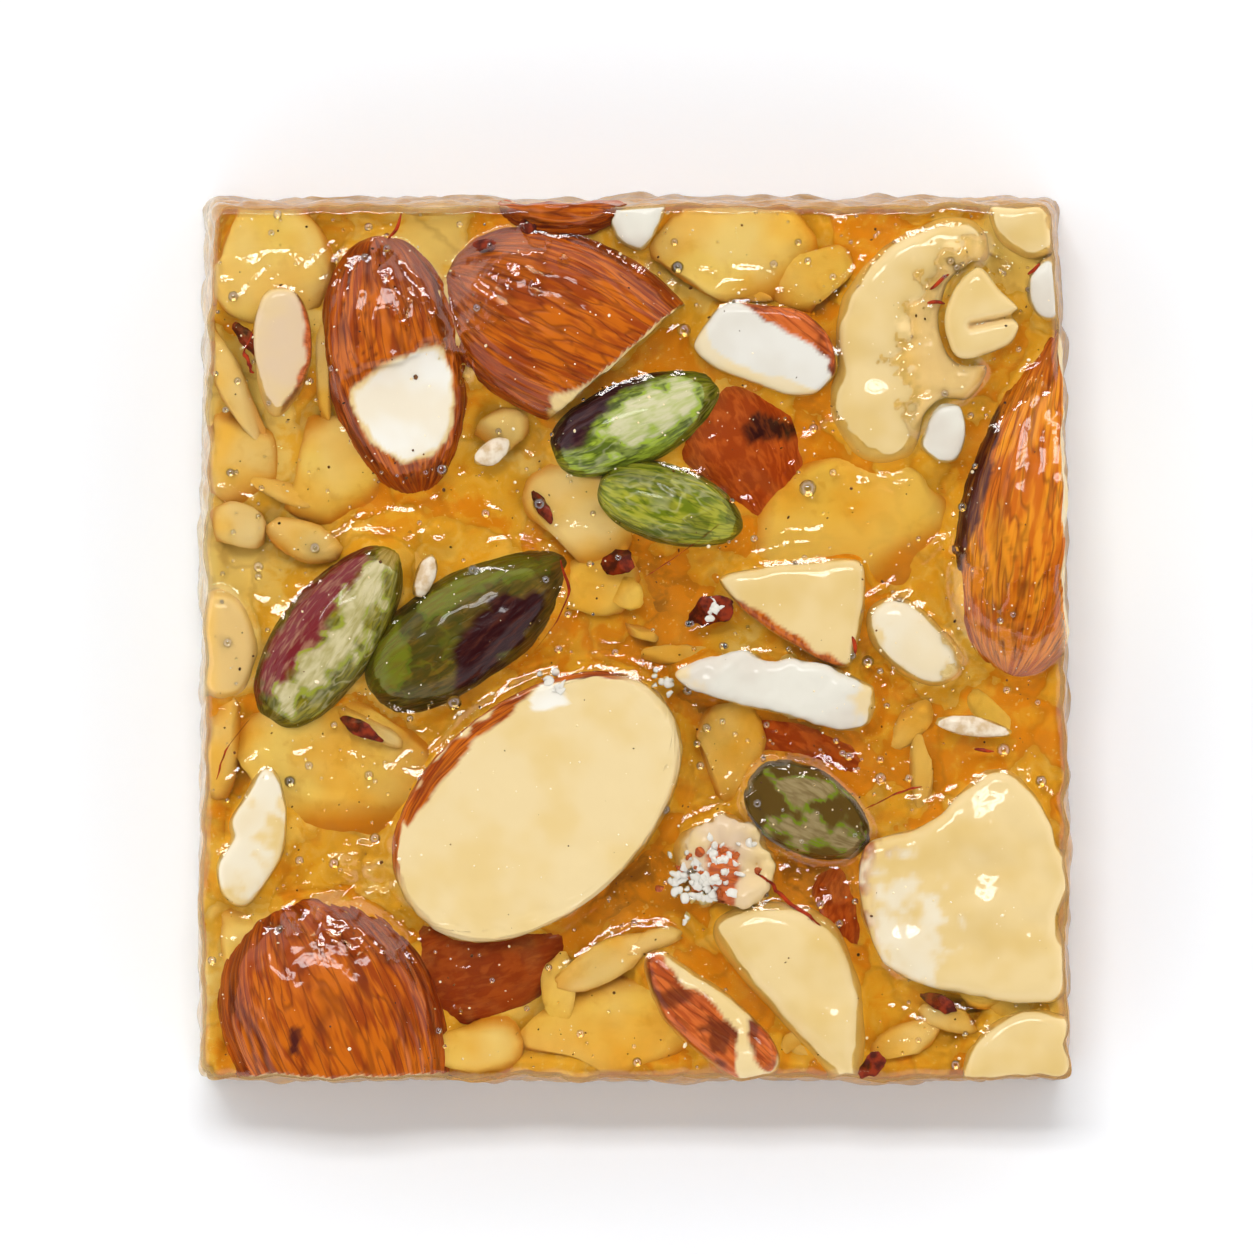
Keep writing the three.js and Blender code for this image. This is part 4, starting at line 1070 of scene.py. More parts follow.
def plain_finish(name, light, deep, size, gloss=0.4, syrup=0.4):
    """A small bit: two colours, mottled."""
    f = Finish(name)
    mottle = f.noise(size, 4)
    f.look(Base_Color=f.mix(f.fit(mottle, 0.35, 0.65), linear(light), linear(deep)),
           Roughness=f.fit(mottle, 0.3, 0.7, gloss, gloss + 0.15), Normal=f.bump(mottle, 0.05, 0.8),
           Specular_IOR_Level=0.15, Coat_Weight=syrup, Coat_Roughness=0.08)
    return f.material


# Operators

KERNEL_STEP = {"almond": 0.18, "pistachio": 0.15}
made = {"nuts": [], "sunk": []}


def show_nuts(specs, kind, ending, make, finish_of):
    """The nuts of one kind, each with the finish of its look and standing for the solid of its name."""
    finishes = {}
    for seed, (name, spec) in enumerate(specs.items()):
        if spec["kind"] == kind:
            look = spec.get("look")
            if look not in finishes:
                finishes[look] = finish_of(look)
            points, faces, masks = make(name, spec, seed)
            made["nuts"].append(shown_piece(f"{name}_{ending}", points, faces, masks, finishes[look], name))


def show_kernels(kind, finish_of):
    """The whole and split kernels of one kind."""
    rib = bpy.context.scene.brittle_nuts.rib / MM
    show_nuts(KERNELS, kind, "kernel",
              lambda name, spec, seed: kernel_piece(name, spec, seed, KERNEL_STEP[kind], rib), finish_of)


def show_pieces(kind, finish_of):
    """The broken and cut pieces of one kind."""
    voxel = bpy.context.scene.brittle_nuts.voxel / MM
    show_nuts(PIECES, kind, "piece", lambda name, spec, _: worn_piece(name, spec, voxel), finish_of)


class BRITTLE_OT_almonds(bpy.types.Operator):
    """Make the almonds in their skin and the split almond"""

    bl_idname = "brittle.almonds"
    bl_label = "Almonds"

    def execute(self, context):
        nuts = context.scene.brittle_nuts
        show_kernels("almond", lambda look: almond_finish(nuts, look))
        return {"FINISHED"}


class BRITTLE_OT_pistachios(bpy.types.Operator):
    """Make the pistachios"""

    bl_idname = "brittle.pistachios"
    bl_label = "Pistachios"

    def execute(self, context):
        show_kernels("pistachio", pistachio_finish)
        return {"FINISHED"}


class BRITTLE_OT_flesh(bpy.types.Operator):
    """Make the bits of almond flesh"""

    bl_idname = "brittle.flesh"
    bl_label = "Almond flesh"

    def execute(self, context):
        nuts = context.scene.brittle_nuts
        show_pieces("almond_flesh", lambda look: flesh_finish(nuts, look))
        return {"FINISHED"}


class BRITTLE_OT_cashews(bpy.types.Operator):
    """Make the cashews"""

    bl_idname = "brittle.cashews"
    bl_label = "Cashews"

    def execute(self, context):
        nuts = context.scene.brittle_nuts
        show_pieces("cashew", lambda look: cashew_finish(nuts))
        return {"FINISHED"}


class BRITTLE_OT_coconut(bpy.types.Operator):
    """Make the coconut"""

    bl_idname = "brittle.coconut"
    bl_label = "Coconut"

    def execute(self, context):
        nuts = context.scene.brittle_nuts
        show_pieces("coconut", lambda look: coconut_finish(nuts))
        return {"FINISHED"}


# Sunk nuts: how far they are spread, where their tops are flat, their ribs, pale parts and reach to the sides
SUNK_SPREAD = (1.12, 1.12, 1.0)
SUNK_FLAT = 0.6
SUNK_RIB = 0.4
SUNK_PALE = 0.8
SUNK_REACH = -0.4
# Scattered bits: number, sizes, and how deep their tops lie
SUNK_BITS = 20
BIT_SIZES = (2.0, 5.5)
BIT_DEPTHS = (0.7, 1.9)
SUNK_SEED, BIT_SEED, WHOLE_SEED, PLACE_SEED = 40, 100, 60, 5
BIT_REACH = 0.46
LUMP_STEP, WHOLE_STEP = 0.4, 0.25


def sunk_lump(size, seed, at, turn, depth, flats=3):
    """A lump with a broad flat top under the sugar: points, faces and masks."""
    points, faces = lump_rings(size, seed, flats, LUMP_STEP)
    top = SUNK_FLAT * points[:, 2].max()
    tilt = 0.05 * (points[:, 0] * math.sin(seed) + points[:, 1] * math.cos(seed))
    bumps = 0.12 * grain(points + seed, 1.8, 2)
    points[:, 2] = np.minimum(points[:, 2], top + tilt + bumps)
    points = turned(points, turn)
    # Painted shade on the lower flanks of a sunk lump, carried by the below mask
    shaded_flank = ease(0.25, 1.1, points[:, 2].max() - points[:, 2])
    points, _ = knife_cut(points + [*at, SLAB_HEIGHT - depth - points[:, 2].max()], SUNK_REACH)
    pale = SUNK_PALE * ease(-0.3, 0.4, grain(points + seed, 3.4, 2))
    return points, faces, dict(skin=0.0, dark=0.0, pale=pale, groove=0.0, below=shaded_flank, along=points)


class BRITTLE_OT_sunk(bpy.types.Operator):
    """Make the nuts that lie wholly under the sugar"""

    bl_idname = "brittle.sunk"
    bl_label = "Sunk nuts"

    def execute(self, context):
        nuts = context.scene.brittle_nuts
        heaps = {"cashew": Heap(), "flesh": Heap()}
        for seed, (kind, at, size, turn, depth) in enumerate(SUNK):
            heaps[kind].add(*sunk_lump(np.multiply(size, SUNK_SPREAD), SUNK_SEED + seed, at, turn, depth))
        draw = np.random.default_rng(PLACE_SEED)
        for seed in range(SUNK_BITS):
            at = draw.uniform(-BIT_REACH, BIT_REACH, 2) * [SLAB_WIDTH, SLAB_LENGTH]
            size = draw.uniform(*BIT_SIZES, 3) * [1, 0.5, 0.5]
            kind = ("cashew", "flesh")[int(draw.integers(2))]
            turn, depth = draw.uniform(0, 180), draw.uniform(*BIT_DEPTHS)
            heaps[kind].add(*sunk_lump(size, BIT_SEED + seed, at, turn, depth, flats=6))
        made["sunk"].append(heaps["cashew"].show("sunk_cashews", sunk_cashew_finish(nuts), "cashew"))
        made["sunk"].append(heaps["flesh"].show("sunk_almond_flesh", flesh_finish(nuts, "sunk"), "almond_flesh"))
        whole = Heap()
        for seed, (name, spec) in enumerate(SUNK_ALMONDS.items()):
            points, faces, masks = kernel_piece(name, spec, WHOLE_SEED + seed, WHOLE_STEP, SUNK_RIB * nuts.rib / MM)
            masks["dark"] = np.maximum(masks["dark"], spec.get("shade", 0.0))
            whole.add(points, faces, masks)
        made["sunk"].append(whole.show("sunk_almonds", sunk_almond_finish(nuts), "almond_skin"))
        return {"FINISHED"}


# Height that the heights are felt from
OVERHEAD = 20.0


def heights_over(pieces, x, y):
    """The height of the highest of some pieces over each place in plan, and -1 where there is none."""
    best = np.full(x.shape, -1.0)
    for piece in pieces:
        corners = np.array(piece.bound_box) / MM - SLAB_MIDDLE
        low, high = corners.min(0), corners.max(0)
        near = np.argwhere((x >= low[0]) & (x <= high[0]) & (y >= low[1]) & (y <= high[1]))
        for i, j in near:
            start = (np.array([x[i, j], y[i, j], OVERHEAD]) + SLAB_MIDDLE) * MM
            hit, place, _, _ = piece.ray_cast(Vector(start), Vector((0, 0, -1)))
            if hit:
                best[i, j] = max(best[i, j], place.z / MM)
    return best


def neighbours(values):
    """The values of the four neighbours of each value in a grid."""
    edge = np.pad(values, 1, mode="edge")
    return edge[:-2, 1:-1], edge[2:, 1:-1], edge[1:-1, :-2], edge[1:-1, 2:]


def spread(values, rounds, keep=None, pull=0.0):
    """Values evened out with their neighbours. Those in keep stay, and the others are drawn to 0 by pull."""
    for _ in range(rounds):
        new = sum(neighbours(values)) / 4 / (1 + pull)
        values = new if keep is None else np.where(keep, values, new)
    return values


def highest(values, rounds):
    """The highest value round about."""
    for _ in range(rounds):
        values = np.max([*neighbours(values), values], axis=0)
    return values


# The rim: how far in it is rounded, frosted and broken, and the angle from which an edge is sharp
RIM_ROUND = 0.9
RIM_FROST = 0.35
SIDE_REACH = 3
SHARP = math.radians(60)
WALL_ROWS = 14
PALE_SIDE = (-28.6, -27.4)
TALLEST = cad_box[1][2] / MM + 0.17


# The broken side: size and depth of its chips and of its grit, how far in they lie, and the share of the slow waves
CHIP_SIZE, CHIP_DEPTH = 3.2, 0.34
GRIT_SIZE, GRIT_DEPTH = 1.2, 0.1
CHIP_INSET = 0.12
CRAG_SHARE = 0.6


def side_crag(x, y, z):
    """How far the broken side stands out at a point."""
    points = np.stack([x.ravel(), y.ravel(), z.ravel()], axis=1)
    chips = np.abs(grain(points, CHIP_SIZE, 2)) * CHIP_DEPTH + grain(points + 9.1, GRIT_SIZE, 2) * GRIT_DEPTH
    return CRAG * wander(x, y, z) * CRAG_SHARE + (chips.reshape(x.shape) - CHIP_INSET)


def outline_place(x, y, z, share):
    """A point of the slab's plan at a height, its corners rounded and its sides leaned and broken by a share."""
    over_x = np.maximum(0, np.abs(x) - (SLAB_WIDTH / 2 - CORNER))
    over_y = np.maximum(0, np.abs(y) - (SLAB_LENGTH / 2 - CORNER))
    reach = np.hypot(over_x, over_y)
    draw = np.where(reach > 0, np.maximum(over_x, over_y) / np.maximum(reach, TINY), 1)
    round_x = x - np.sign(x) * over_x * (1 - draw)
    round_y = y - np.sign(y) * over_y * (1 - draw)
    grown = 1 + share * (leaned_in(y, z) - 1 + 2 * side_crag(x, y, z) / SLAB_WIDTH)
    return drawn_in(round_x, y) * grown, round_y * grown


RIDGE_SHARE = 0.7
CRUMPLE_SHARE = 0.7


def syrup_relief(x, y):
    """How far the ridges and crumples of the syrup stand up."""
    stray = 0.25 * plan_grain(x, y, 4.4, 1.6)
    relief = np.zeros(x.shape)
    for line, height, wide in RIDGES:
        relief = np.maximum(relief, RIDGE_SHARE * height * np.exp(-((near_line(x, y, line) + stray) / wide) ** 2))
    crumple = np.abs(plan_grain(x, y, 17.0, 1.1))
    for (at_x, at_y), reach, height in RIPPLES:
        relief += CRUMPLE_SHARE * height * crumple * np.exp(-((x - at_x) ** 2 + (y - at_y) ** 2) / reach ** 2)
    return relief


# Wrinkles round the nuts: distance and height
WRINKLES = [(0.75, 0.11), (1.35, 0.1), (2.1, 0.09)]
WRINKLE_HALF = 0.19
WRINKLE_REACH = 2.8


def wrinkles(x, y, nut, step):
    """Thin wrinkles in the syrup that follow the nuts at a few distances."""
    grown, away = nut.astype(float), np.zeros(x.shape)
    for turn in range(int(WRINKLE_REACH / step)):
        away += step * (1 - grown)
        grown = highest(grown, 1) if turn % 3 else (spread(grown, 1) > 0).astype(float)
    away = spread(away, 3) + 0.35 * plan_grain(x, y, 3.7, 3.0)
    relief = np.zeros(x.shape)
    for count, (distance, height) in enumerate(WRINKLES):
        there = ease(-0.05, 0.35, plan_grain(x, y, 13.0 * (count + 1), 3.6))
        relief += height * there * np.exp(-((away - distance) / WRINKLE_HALF) ** 2)
    return relief


STRAW_CLEAR = 0.75


def cloud_tone(x, y):
    """How brown the cloudy sugar is at each place in plan, from -1 for straw to 1."""
    tone = np.zeros(np.shape(x))
    for (at_x, at_y), reach, value in CLOUD_TONES:
        near = np.exp(-((x - at_x) ** 2 + (y - at_y) ** 2) / reach ** 2)
        tone = tone * (1 - near) + value * near
    return tone


# The sugar's top: height and size of its waves and ripples, the soft edge of a film and the rounds that even it out
LEVEL_WAVE, WAVE_SIZE = 0.1, 4.5
LEVEL_RIPPLE, RIPPLE_SIZE = 0.04, 1.3
FILM_SOFT = 1.5
FILM_ROUNDS = 5
# How the sugar climbs a nut: its highest, its share of the nut's rise, how ragged it is, and the rounds that it takes
CLIMB_PEAK = 1.6
CLIMB_SHARE = 0.5
CLIMB_RAGGED = (0.1, 1.2)
CLIMB_ROUNDS = 6
SETTLE_ROUNDS = 60
WRINKLE_UNDER = 0.3
# Depths between which the sugar's tint goes from shallow to clear
DEEP_FROM, DEEP_AT = 0.15, 1.3


def sugar_top(sugar, x, y):
    """Over a grid in plan: heights of the sugar's top, heights of the nuts, and how deep the clear sugar is."""
    level = SLAB_HEIGHT + SWELL * wander(y, x, 0 * x)
    level += LEVEL_WAVE * plan_grain(x, y, 0.0, WAVE_SIZE)
    level += LEVEL_RIPPLE * plan_grain(x, y, 2.2, RIPPLE_SIZE, layers=1)
    film = sugar.film / MM
    sunk = heights_over(made["sunk"], x, y)
    level = np.maximum(level, spread(np.maximum(level, sunk + film), 4))
    level = spread(level, 3)
    nuts = heights_over(made["nuts"], x, y)
    films = []
    for name, over, tint, outline in FLOODS:
        inside = inside_patch(in_plan(x, y), outline, FILM_SOFT).reshape(x.shape)
        covered = heights_over([piece for piece in made["nuts"] if piece.name.startswith(name)], x, y)
        lifted = spread(highest(np.where(covered > 0, covered + over, 0), FILM_ROUNDS), FILM_ROUNDS)
        level = np.where(inside > 0.02, np.maximum(level, lifted + 2 * over * (inside - 1)), level)
        films.append((spread(inside * (covered > 0), 3), tint))
    level = level + syrup_relief(x, y) + wrinkles(x, y, nuts > level - WRINKLE_UNDER, sugar.step / MM)
    above = np.maximum(nuts - level, 0)
    rise = spread(highest(above, CLIMB_ROUNDS), CLIMB_ROUNDS)
    ragged = 0.5 + 0.5 * plan_grain(x, y, 31.0, 3.0)
    climb = np.clip(ragged, *CLIMB_RAGGED) * np.minimum(sugar.climb / MM * CLIMB_PEAK, CLIMB_SHARE * rise)
    held = nuts > level + climb
    step = sugar.step / MM
    pull = step ** 2 / (4 * (sugar.meniscus / MM) ** 2)
    height = level + spread(np.where(held, climb, 0.0), SETTLE_ROUNDS, keep=held, pull=pull)
    deep = spread(ease(DEEP_FROM, DEEP_AT, height - np.maximum(sunk, nuts)), 1)
    deep = deep * (1 - STRAW_CLEAR * np.clip(-cloud_tone(x, y), 0, 1))
    for share, tint in films:
        deep = deep * (1 - share) + tint * share
    return height, nuts, deep


def ball(rounds):
    """A small ball, finer the more rounds: points and faces."""
    mesh = bpy.data.meshes.new("ball")
    shape = bmesh.new()
    bmesh.ops.create_icosphere(shape, subdivisions=rounds, radius=1)
    shape.to_mesh(mesh)
    shape.free()
    points = np.array([v.co for v in mesh.vertices])
    faces = [list(face.vertices) for face in mesh.polygons]
    bpy.data.meshes.remove(mesh)
    return points, faces


def rim_of(grid):
    """The values round the rim of a grid, in order."""
    return np.concatenate([grid[0, :-1], grid[:-1, -1], grid[-1, :0:-1], grid[:0:-1, 0]])


def from_sides(x, y):
    """How far inside the nearest of the slab's sides a place in plan is."""
    return np.minimum(SLAB_WIDTH / 2 - np.abs(x), SLAB_LENGTH / 2 - np.abs(y))


def closed_below(x, y, z, walls, foot):
    """A grid of points, closed by rows of points down from its rim and by a flat foot: points and faces."""
    index = np.arange(x.size).reshape(x.shape)
    quads = np.stack([index[:-1, :-1], index[:-1, 1:], index[1:, 1:], index[1:, :-1]], axis=-1)
    faces = quads.reshape(-1, 4).tolist()
    above = rim_of(index)
    for row in range(len(walls)):
        below = x.size + row * len(above) + np.arange(len(above))
        faces += np.stack([above, below, np.roll(below, -1), np.roll(above, -1)], axis=1).tolist()
        above = below
    points = np.concatenate([np.stack([x, y, z], axis=-1).reshape(-1, 3), *walls, [[0.0, 0.0, foot]]])
    faces += np.stack([np.full(len(above), len(points) - 1), np.roll(above, -1), above], axis=1).tolist()
    return points, faces


class BRITTLE_OT_sugar(bpy.types.Operator):
    """Pour the amber sugar round the nuts"""

    bl_idname = "brittle.sugar"
    bl_label = "Sugar"

    def execute(self, context):
        if not made["nuts"]:
            raise RuntimeError("the nuts come before the sugar")
        sugar = context.scene.brittle_sugar
        step = sugar.step / MM
        columns, rows = int(SLAB_WIDTH / step) + 1, int(SLAB_LENGTH / step) + 1
        grid_x, grid_y = np.meshgrid(np.linspace(-1, 1, columns) * SLAB_WIDTH / 2,
                                     np.linspace(-1, 1, rows) * SLAB_LENGTH / 2)
        inward = from_sides(grid_x, grid_y)
        full = np.full(grid_x.shape, SLAB_HEIGHT)
        x, y = outline_place(grid_x, grid_y, full, np.clip(1 - inward / SIDE_REACH, 0, 1) ** 2)
        height, nuts, deep = sugar_top(sugar, x, y)
        height = np.minimum(height - EDGE_SLUMP * np.clip(1 - inward / RIM_ROUND, 0, 1) ** 2, TALLEST)
        frost = ease(RIM_FROST, 0.0, inward)
        rim_x, rim_y, rim_z = (rim_of(grid) for grid in (grid_x, grid_y, height))
        walls = []
        for row in range(1, WALL_ROWS + 1):
            z = rim_z * (1 - row / WALL_ROWS)
            wall_x, wall_y = outline_place(rim_x, rim_y, np.minimum(z, SLAB_HEIGHT), np.ones(len(z)))
            walls.append(np.stack([wall_x, wall_y, z], axis=1))
        points, faces = closed_below(x, y, height, walls, 0.0)
        sides = np.ones(len(points) - x.size)
        golden = ease(*PALE_SIDE, points[:, 0])
        masks = {"frost": np.concatenate([frost.ravel(), sides]),
                 "deep": np.concatenate([deep.ravel(), sides]) * golden}
        piece = shown_piece("amber_sugar", points, faces, masks, sugar_finish(sugar), "sugar_slab")
        piece.data.set_sharp_from_angle(angle=SHARP)
        made["top"] = (x, y, height, nuts)
        return {"FINISHED"}


# The cloudy sugar: its points to the clear sugar's, how near a nut it rises and how far, its foot and its unevenness
CLOUD_STRIDE = 2
CLOUD_NUTS = 1.0
CLOUD_RISE = 0.5
CLOUD_ROWS = 8
CLOUD_FOOT = 0.35
CLOUD_UNEVEN = 0.35
CLOUD_RIM = (1.8, 0.4)


class BRITTLE_OT_cloud(bpy.types.Operator):
    """Make the cloudy sugar that lies under the clear"""

    bl_idname = "brittle.cloud"
    bl_label = "Cloudy sugar"

    def execute(self, context):
        if "top" not in made:
            raise RuntimeError("the clear sugar comes before the cloudy")
        sugar = context.scene.brittle_sugar
        x, y, height, nuts = made["top"]
        close = spread(highest(np.where(nuts > height - CLOUD_NUTS, 1.0, 0.0), 3), 5)
        close = np.maximum(close, ease(*CLOUD_RIM, from_sides(x, y)))
        x, y, height, close = (grid[::CLOUD_STRIDE, ::CLOUD_STRIDE] for grid in (x, y, spread(height, 4), close))
        inset = sugar.cloud_inset / MM
        x, y = x * (1 - 2 * inset / SLAB_WIDTH), y * (1 - 2 * inset / SLAB_LENGTH)
        uneven = 1 + CLOUD_UNEVEN * plan_grain(x, y, 5.5, 4.0)
        z = height - sugar.cloud / MM * uneven * (1 - CLOUD_RISE * close)
        rim_x, rim_y, rim_z = (rim_of(grid) for grid in (x, y, z))
        walls = []
        for row in range(1, CLOUD_ROWS + 1):
            share = row / CLOUD_ROWS
            level = rim_z * (1 - share) + CLOUD_FOOT * share
            grown = leaned_in(rim_y, level) / leaned_in(rim_y, rim_z)
            walls.append(np.stack([rim_x * grown, rim_y * grown, level], axis=1))
        points, faces = closed_below(x, y, z, walls, CLOUD_FOOT)
        tone = cloud_tone(points[:, 0], points[:, 1])
        piece = shown_piece("cloudy_sugar", points, faces, {"tone": tone}, cloud_finish(sugar))
        piece.data.set_sharp_from_angle(angle=SHARP)
        return {"FINISHED"}


# Bubbles: how far in from the rim, in steps, the share that is swollen, and radii to the usual one
BUBBLE_SEED = 3
BUBBLE_MARGIN = 4
SWOLLEN_SHARE = 0.3
SWOLLEN, USUAL = 2.3, 1.1


class BRITTLE_OT_bubbles(bpy.types.Operator):
    """Make the bubbles in the sugar and in the syrup on the nuts"""

    bl_idname = "brittle.bubbles"
    bl_label = "Bubbles"

    def execute(self, context):
        sugar = context.scene.brittle_sugar
        x, y, height, nuts = made["top"]
        draw = np.random.default_rng(BUBBLE_SEED)
        small, large = ball(1), ball(2)
        heap = Heap()
        for _ in range(sugar.bubbles):
            i, j = (draw.integers(BUBBLE_MARGIN, size - BUBBLE_MARGIN) for size in x.shape)
            swollen = draw.random() < SWOLLEN_SHARE
            radius = sugar.bubble / MM * float(np.exp(draw.normal(0, 0.3))) * (SWOLLEN if swollen else USUAL)
            sink = draw.uniform(0.35, 0.75)
            if nuts[i, j] > height[i, j]:
                continue
            ball_points, ball_faces = large if swollen else small
            heap.add(ball_points * radius + [x[i, j], y[i, j], height[i, j] - sink * radius], ball_faces)
        heap.show("sugar_bubbles", bubble_finish(sugar), "amber_sugar")
        return {"FINISHED"}


def on_top(at):
    """The height of the sugar or nut at a place in plan."""
    x, y, height, nuts = made["top"]
    spot = np.argmin((x - at[0]) ** 2 + (y - at[1]) ** 2)
    return max(height.ravel()[spot], nuts.ravel()[spot])


# Specks: how far out they lie, as a share of the slab, their usual radius and their numbers; the pale ones stand in
# for painted glints
STREWN = 0.48
SPECK = 0.05
DUST, GLINT_GRAINS = 420, 800
STREWN_SEED = 21
# Small bits: first random seed, flats and step of the points
BITS = {"seed": (200, 0, 0.3), "thread": (220, 0, 0.12), "flake": (240, 7, 0.16), "strand": (260, 0, 0.07),
        "granule": (300, 5, 0.16)}
SEED_THICK = 0.8
THREAD_SECTION = (0.26, 0.22)
FLAKE_THICK = 0.14
STRAND = (2.0, 0.2, 0.1)
GRANULE_SIZES = (0.35, 0.9)


def small_bit(kind, size, number):
    """A small bit of a kind about its own middle: points and faces."""
    seed, flats, step = BITS[kind]
    return lump_rings(size, seed + number, flats, step)


def strewn(draw, number, uneven, spans, sink):
    """Specks strewn over the whole top, as a heap."""
    heap = Heap()
    points, faces = ball(1)
    for _ in range(number):
        at = draw.uniform(-STREWN, STREWN, 2) * [SLAB_WIDTH, SLAB_LENGTH]
        size = SPECK * np.exp(draw.normal(0, uneven)) * draw.uniform(*spans, 3)
        heap.add(turned(points * size, draw.uniform(0, 180)) + [*at, on_top(at) - draw.uniform(0, sink)], faces)
    return heap


class BRITTLE_OT_bits(bpy.types.Operator):
    """Strew the seeds, saffron threads, flakes of skin and nut dust"""

    bl_idname = "brittle.bits"
    bl_label = "Seeds, saffron and crumbs"

    def execute(self, context):
        nuts = context.scene.brittle_nuts
        draw = np.random.default_rng(STREWN_SEED)
        seeds, threads, flakes, granules = (Heap() for _ in range(4))
        for seed, (at, long, wide, turn) in enumerate(SEEDS):
            points, faces = small_bit("seed", (long, wide, SEED_THICK * wide), seed)
            seeds.add(turned(points, turn) + [*at, on_top(at) - 0.12 * wide], faces)
        for seed, (at, long, turn) in enumerate(THREADS):
            points, faces = small_bit("thread", (long, *THREAD_SECTION), seed)
            points[:, 1] += 0.12 * np.sin(2.4 * points[:, 0] + seed)
            threads.add(turned(points, turn) + [*at, on_top(at)], faces)
        for seed, (at, long, wide, turn) in enumerate(FLAKES):
            points, faces = small_bit("flake", (long, wide, FLAKE_THICK), seed)
            points[:, :2] *= 1 + 0.22 * grain(points * [1, 1, 0] + seed, 0.6, 2)[:, None]
            points[:, 2] += 0.12 * points[:, 0] * points[:, 1] + 0.1 * points[:, 0]
            flakes.add(turned(points, turn) + [*at, on_top(at) - 0.06], faces)
        for seed, line in enumerate(STRANDS):
            points, faces = small_bit("strand", STRAND, seed)
            line = np.array(line)
            share = (points[:, 0] + 1) / 2 * (len(line) - 1)
            along = np.stack([np.interp(share, range(len(line)), line[:, axis]) for axis in (0, 1)], axis=1)
            points[:, :2] = along + points[:, 1:2] + 0.1 * lumps(points * [3, 0, 0] + seed, 0.5)[:, None]
            points[:, 2] += [on_top(spot) + 0.02 for spot in along]
            threads.add(points, faces)
        dust = strewn(draw, DUST, 0.45, (0.6, 1.5), 0.12)
        # Pale specks of sugar whose colour stands in for painted glints on the sugar and the skins
        grains_and_glints = strewn(draw, GLINT_GRAINS, 0.4, (0.7, 1.4), 0.05)
        for (at_x, at_y), reach, number, skinned in GRANULES:
            for seed in range(number):
                off = reach * draw.normal(0, 0.45, 2)
                at = (at_x + off[0], at_y + off[1])
                points, faces = small_bit("granule", draw.uniform(*GRANULE_SIZES, 3), seed)
                placed = turned(points, draw.uniform(0, 180)) + [*at, on_top(at) - 0.1]
                skin = float(draw.random() < skinned)
                granules.add(placed, faces, dict(skin=skin, dark=0.0, pale=0.0, groove=0.0, along=points))
        granules.show("almond_granules", flesh_finish(nuts, "white"), "almond_flesh")
        # The pale specks: painted glints
        grains_and_glints.show("sugar_grains", plain_finish("Sugar grain", "FFF4DC", "F4DCA8", 0.3), "amber_sugar")
        seeds.show("melon_seeds", plain_finish("Melon seed", "EADBC4", "CDAF86", 0.8), "coconut")
        threads.show("saffron_threads", plain_finish("Saffron", "B03406", "781C06", 0.5, 0.5, 0.1), "almond_skin")
        flakes.show("skin_flakes", plain_finish("Skin flake", "8A2E10", "4A160A", 0.5, 0.5, 0.08), "almond_skin")
        dust.show("nut_dust", plain_finish("Nut dust", "7A4A18", "3A1E0C", 0.3), "almond_skin")
        return {"FINISHED"}


# The floor's depth in millimetres and half width in metres, where the camera aims, its sensor and its farthest sight
FLOOR_DROP = 0.05
FLOOR_HALF = 1.2
AIM = (-0.47, 0.73, SLAB_HEIGHT)
SENSOR = 36
FARTHEST = 10
# The softbox: where its middle lies, its bar's half width, and shares at which the edges of the pane and bar fade
SOFTBOX_WAY = (-0.1, 0.47)
SOFTBOX_BAR = 0.012
PANE_EDGE = (0.85, 1.1)
BAR_EDGE = (0.5, 1.5)
# Upward shares of a ray's way: the least one, where the softbox starts, and where it goes dark overhead
LEAST_UP = 0.05
SOFTBOX_FROM = (0.1, 0.2)
DARK_OVERHEAD = (0.55, 0.82)
BOUNCES = {"max_bounces": 4, "diffuse_bounces": 2, "glossy_bounces": 2, "transmission_bounces": 5}


def studio_light(stage):
    """Soft light from all round with a dark place overhead, and one softbox of four panes behind the slab."""
    world = bpy.data.worlds.new("Studio")
    w = Nodes(world)
    background = w.tree.nodes["Background"]
    ray = w.part("ShaderNodeSeparateXYZ", {0: w.part("ShaderNodeTexCoord").outputs["Generated"]}).outputs
    upward = w.sum("MAXIMUM", ray["Z"], LEAST_UP)
    light = w.fit(ray["Z"], *DARK_OVERHEAD, stage.sky, stage.overhead)
    pane = w.fit(ray["Z"], *SOFTBOX_FROM, 0.0, stage.key)
    for axis, middle, spans in zip("XY", SOFTBOX_WAY, (stage.softbox_wide, stage.softbox_tall)):
        off = w.sum("ABSOLUTE", w.sum("SUBTRACT", w.sum("DIVIDE", ray[axis], upward), middle), 0.0)
        half = math.tan(spans / 2)
        pane = w.sum("MULTIPLY", pane, w.fit(off, *(edge * half for edge in PANE_EDGE), 1.0, 0.0))
        pane = w.sum("MULTIPLY", pane, w.fit(off, *(edge * SOFTBOX_BAR for edge in BAR_EDGE)))
    w.set(background, {"Color": (1, 1, 1, 1), "Strength": w.sum("ADD", light, pane)})
    return world


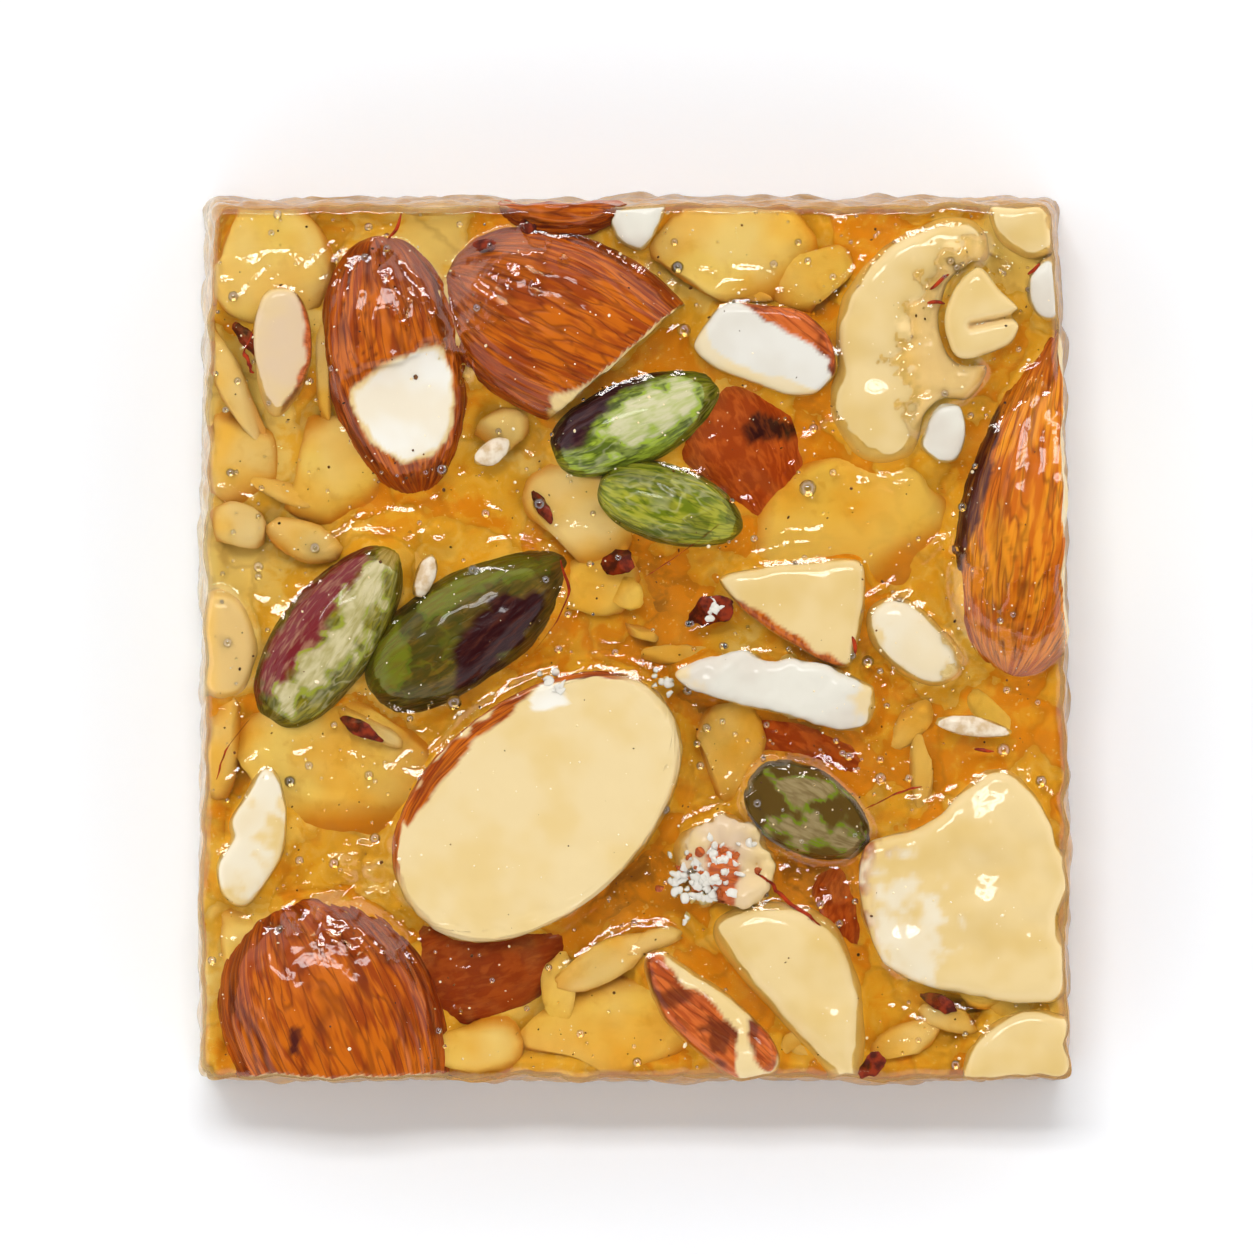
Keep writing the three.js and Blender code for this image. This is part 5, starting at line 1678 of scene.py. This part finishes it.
class BRITTLE_OT_stage(bpy.types.Operator):
    """Set the floor, the light and the camera"""

    bl_idname = "brittle.stage"
    bl_label = "Stage"

    def execute(self, context):
        stage = context.scene.brittle_stage
        scene = context.scene
        mesh = bpy.data.meshes.new("floor")
        corners = ((-1, -1), (1, -1), (1, 1), (-1, 1))
        points = [(x * FLOOR_HALF, y * FLOOR_HALF, -FLOOR_DROP * MM) for x, y in corners]
        mesh.from_pydata(points, [], [(0, 1, 2, 3)])
        floor = bpy.data.objects.new("floor", mesh)
        scene.collection.objects.link(floor)
        f = Finish("Pale floor")
        tone = f.fit(f.noise(40, 2), 0.3, 0.7)
        f.look(Base_Color=f.mix(tone, stage.floor, linear("F9FBFF")), Roughness=0.7)
        mesh.materials.append(f.material)
        scene.world = studio_light(stage)
        eye = bpy.data.cameras.new("Camera")
        eye.sensor_width = eye.sensor_height = SENSOR
        eye.lens = eye.sensor_width * stage.height / stage.across
        eye.clip_end = FARTHEST
        camera = bpy.data.objects.new("Camera", eye)
        aim = (np.array(AIM) + SLAB_MIDDLE) * MM
        camera.location = Vector(aim) + Vector((0, 0, stage.height))
        scene.collection.objects.link(camera)
        scene.camera = camera
        scene.view_settings.view_transform = "Standard"
        for path, bounces in BOUNCES.items():
            setattr(scene.cycles, path, bounces)
        return {"FINISHED"}


GROUPS = {"brittle_sugar": BrittleSugar, "brittle_nuts": BrittleNuts, "brittle_stage": BrittleStage}
STEPS = (BRITTLE_OT_almonds, BRITTLE_OT_pistachios, BRITTLE_OT_flesh, BRITTLE_OT_cashews, BRITTLE_OT_coconut,
         BRITTLE_OT_sunk, BRITTLE_OT_sugar, BRITTLE_OT_cloud, BRITTLE_OT_bubbles, BRITTLE_OT_bits, BRITTLE_OT_stage)


class BRITTLE_PT_panel(bpy.types.Panel):
    """The steps in order, and what may be changed"""

    bl_idname = "BRITTLE_PT_panel"
    bl_label = "Dry fruit brittle"
    bl_space_type = "VIEW_3D"
    bl_region_type = "UI"
    bl_category = "Brittle"

    def draw(self, context):
        for step in STEPS:
            self.layout.operator(step.bl_idname)
        for group in GROUPS:
            values = getattr(context.scene, group)
            for name in values.bl_rna.properties.keys():
                if name not in ("rna_type", "name"):
                    self.layout.prop(values, name)


CLASSES = (*GROUPS.values(), *STEPS, BRITTLE_PT_panel)


def register():
    """Registers the classes and the values that a user may change."""
    for cls in CLASSES:
        bpy.utils.register_class(cls)
    for group, cls in GROUPS.items():
        setattr(bpy.types.Scene, group, bpy.props.PointerProperty(type=cls))


def unregister():
    """Takes them out again."""
    for group in GROUPS:
        delattr(bpy.types.Scene, group)
    for cls in reversed(CLASSES):
        bpy.utils.unregister_class(cls)


def main():
    """Makes the whole brittle."""
    register()
    for step in STEPS:
        group, name = step.bl_idname.split(".")
        getattr(getattr(bpy.ops, group), name)()


if __name__ == "__main__":
    main()
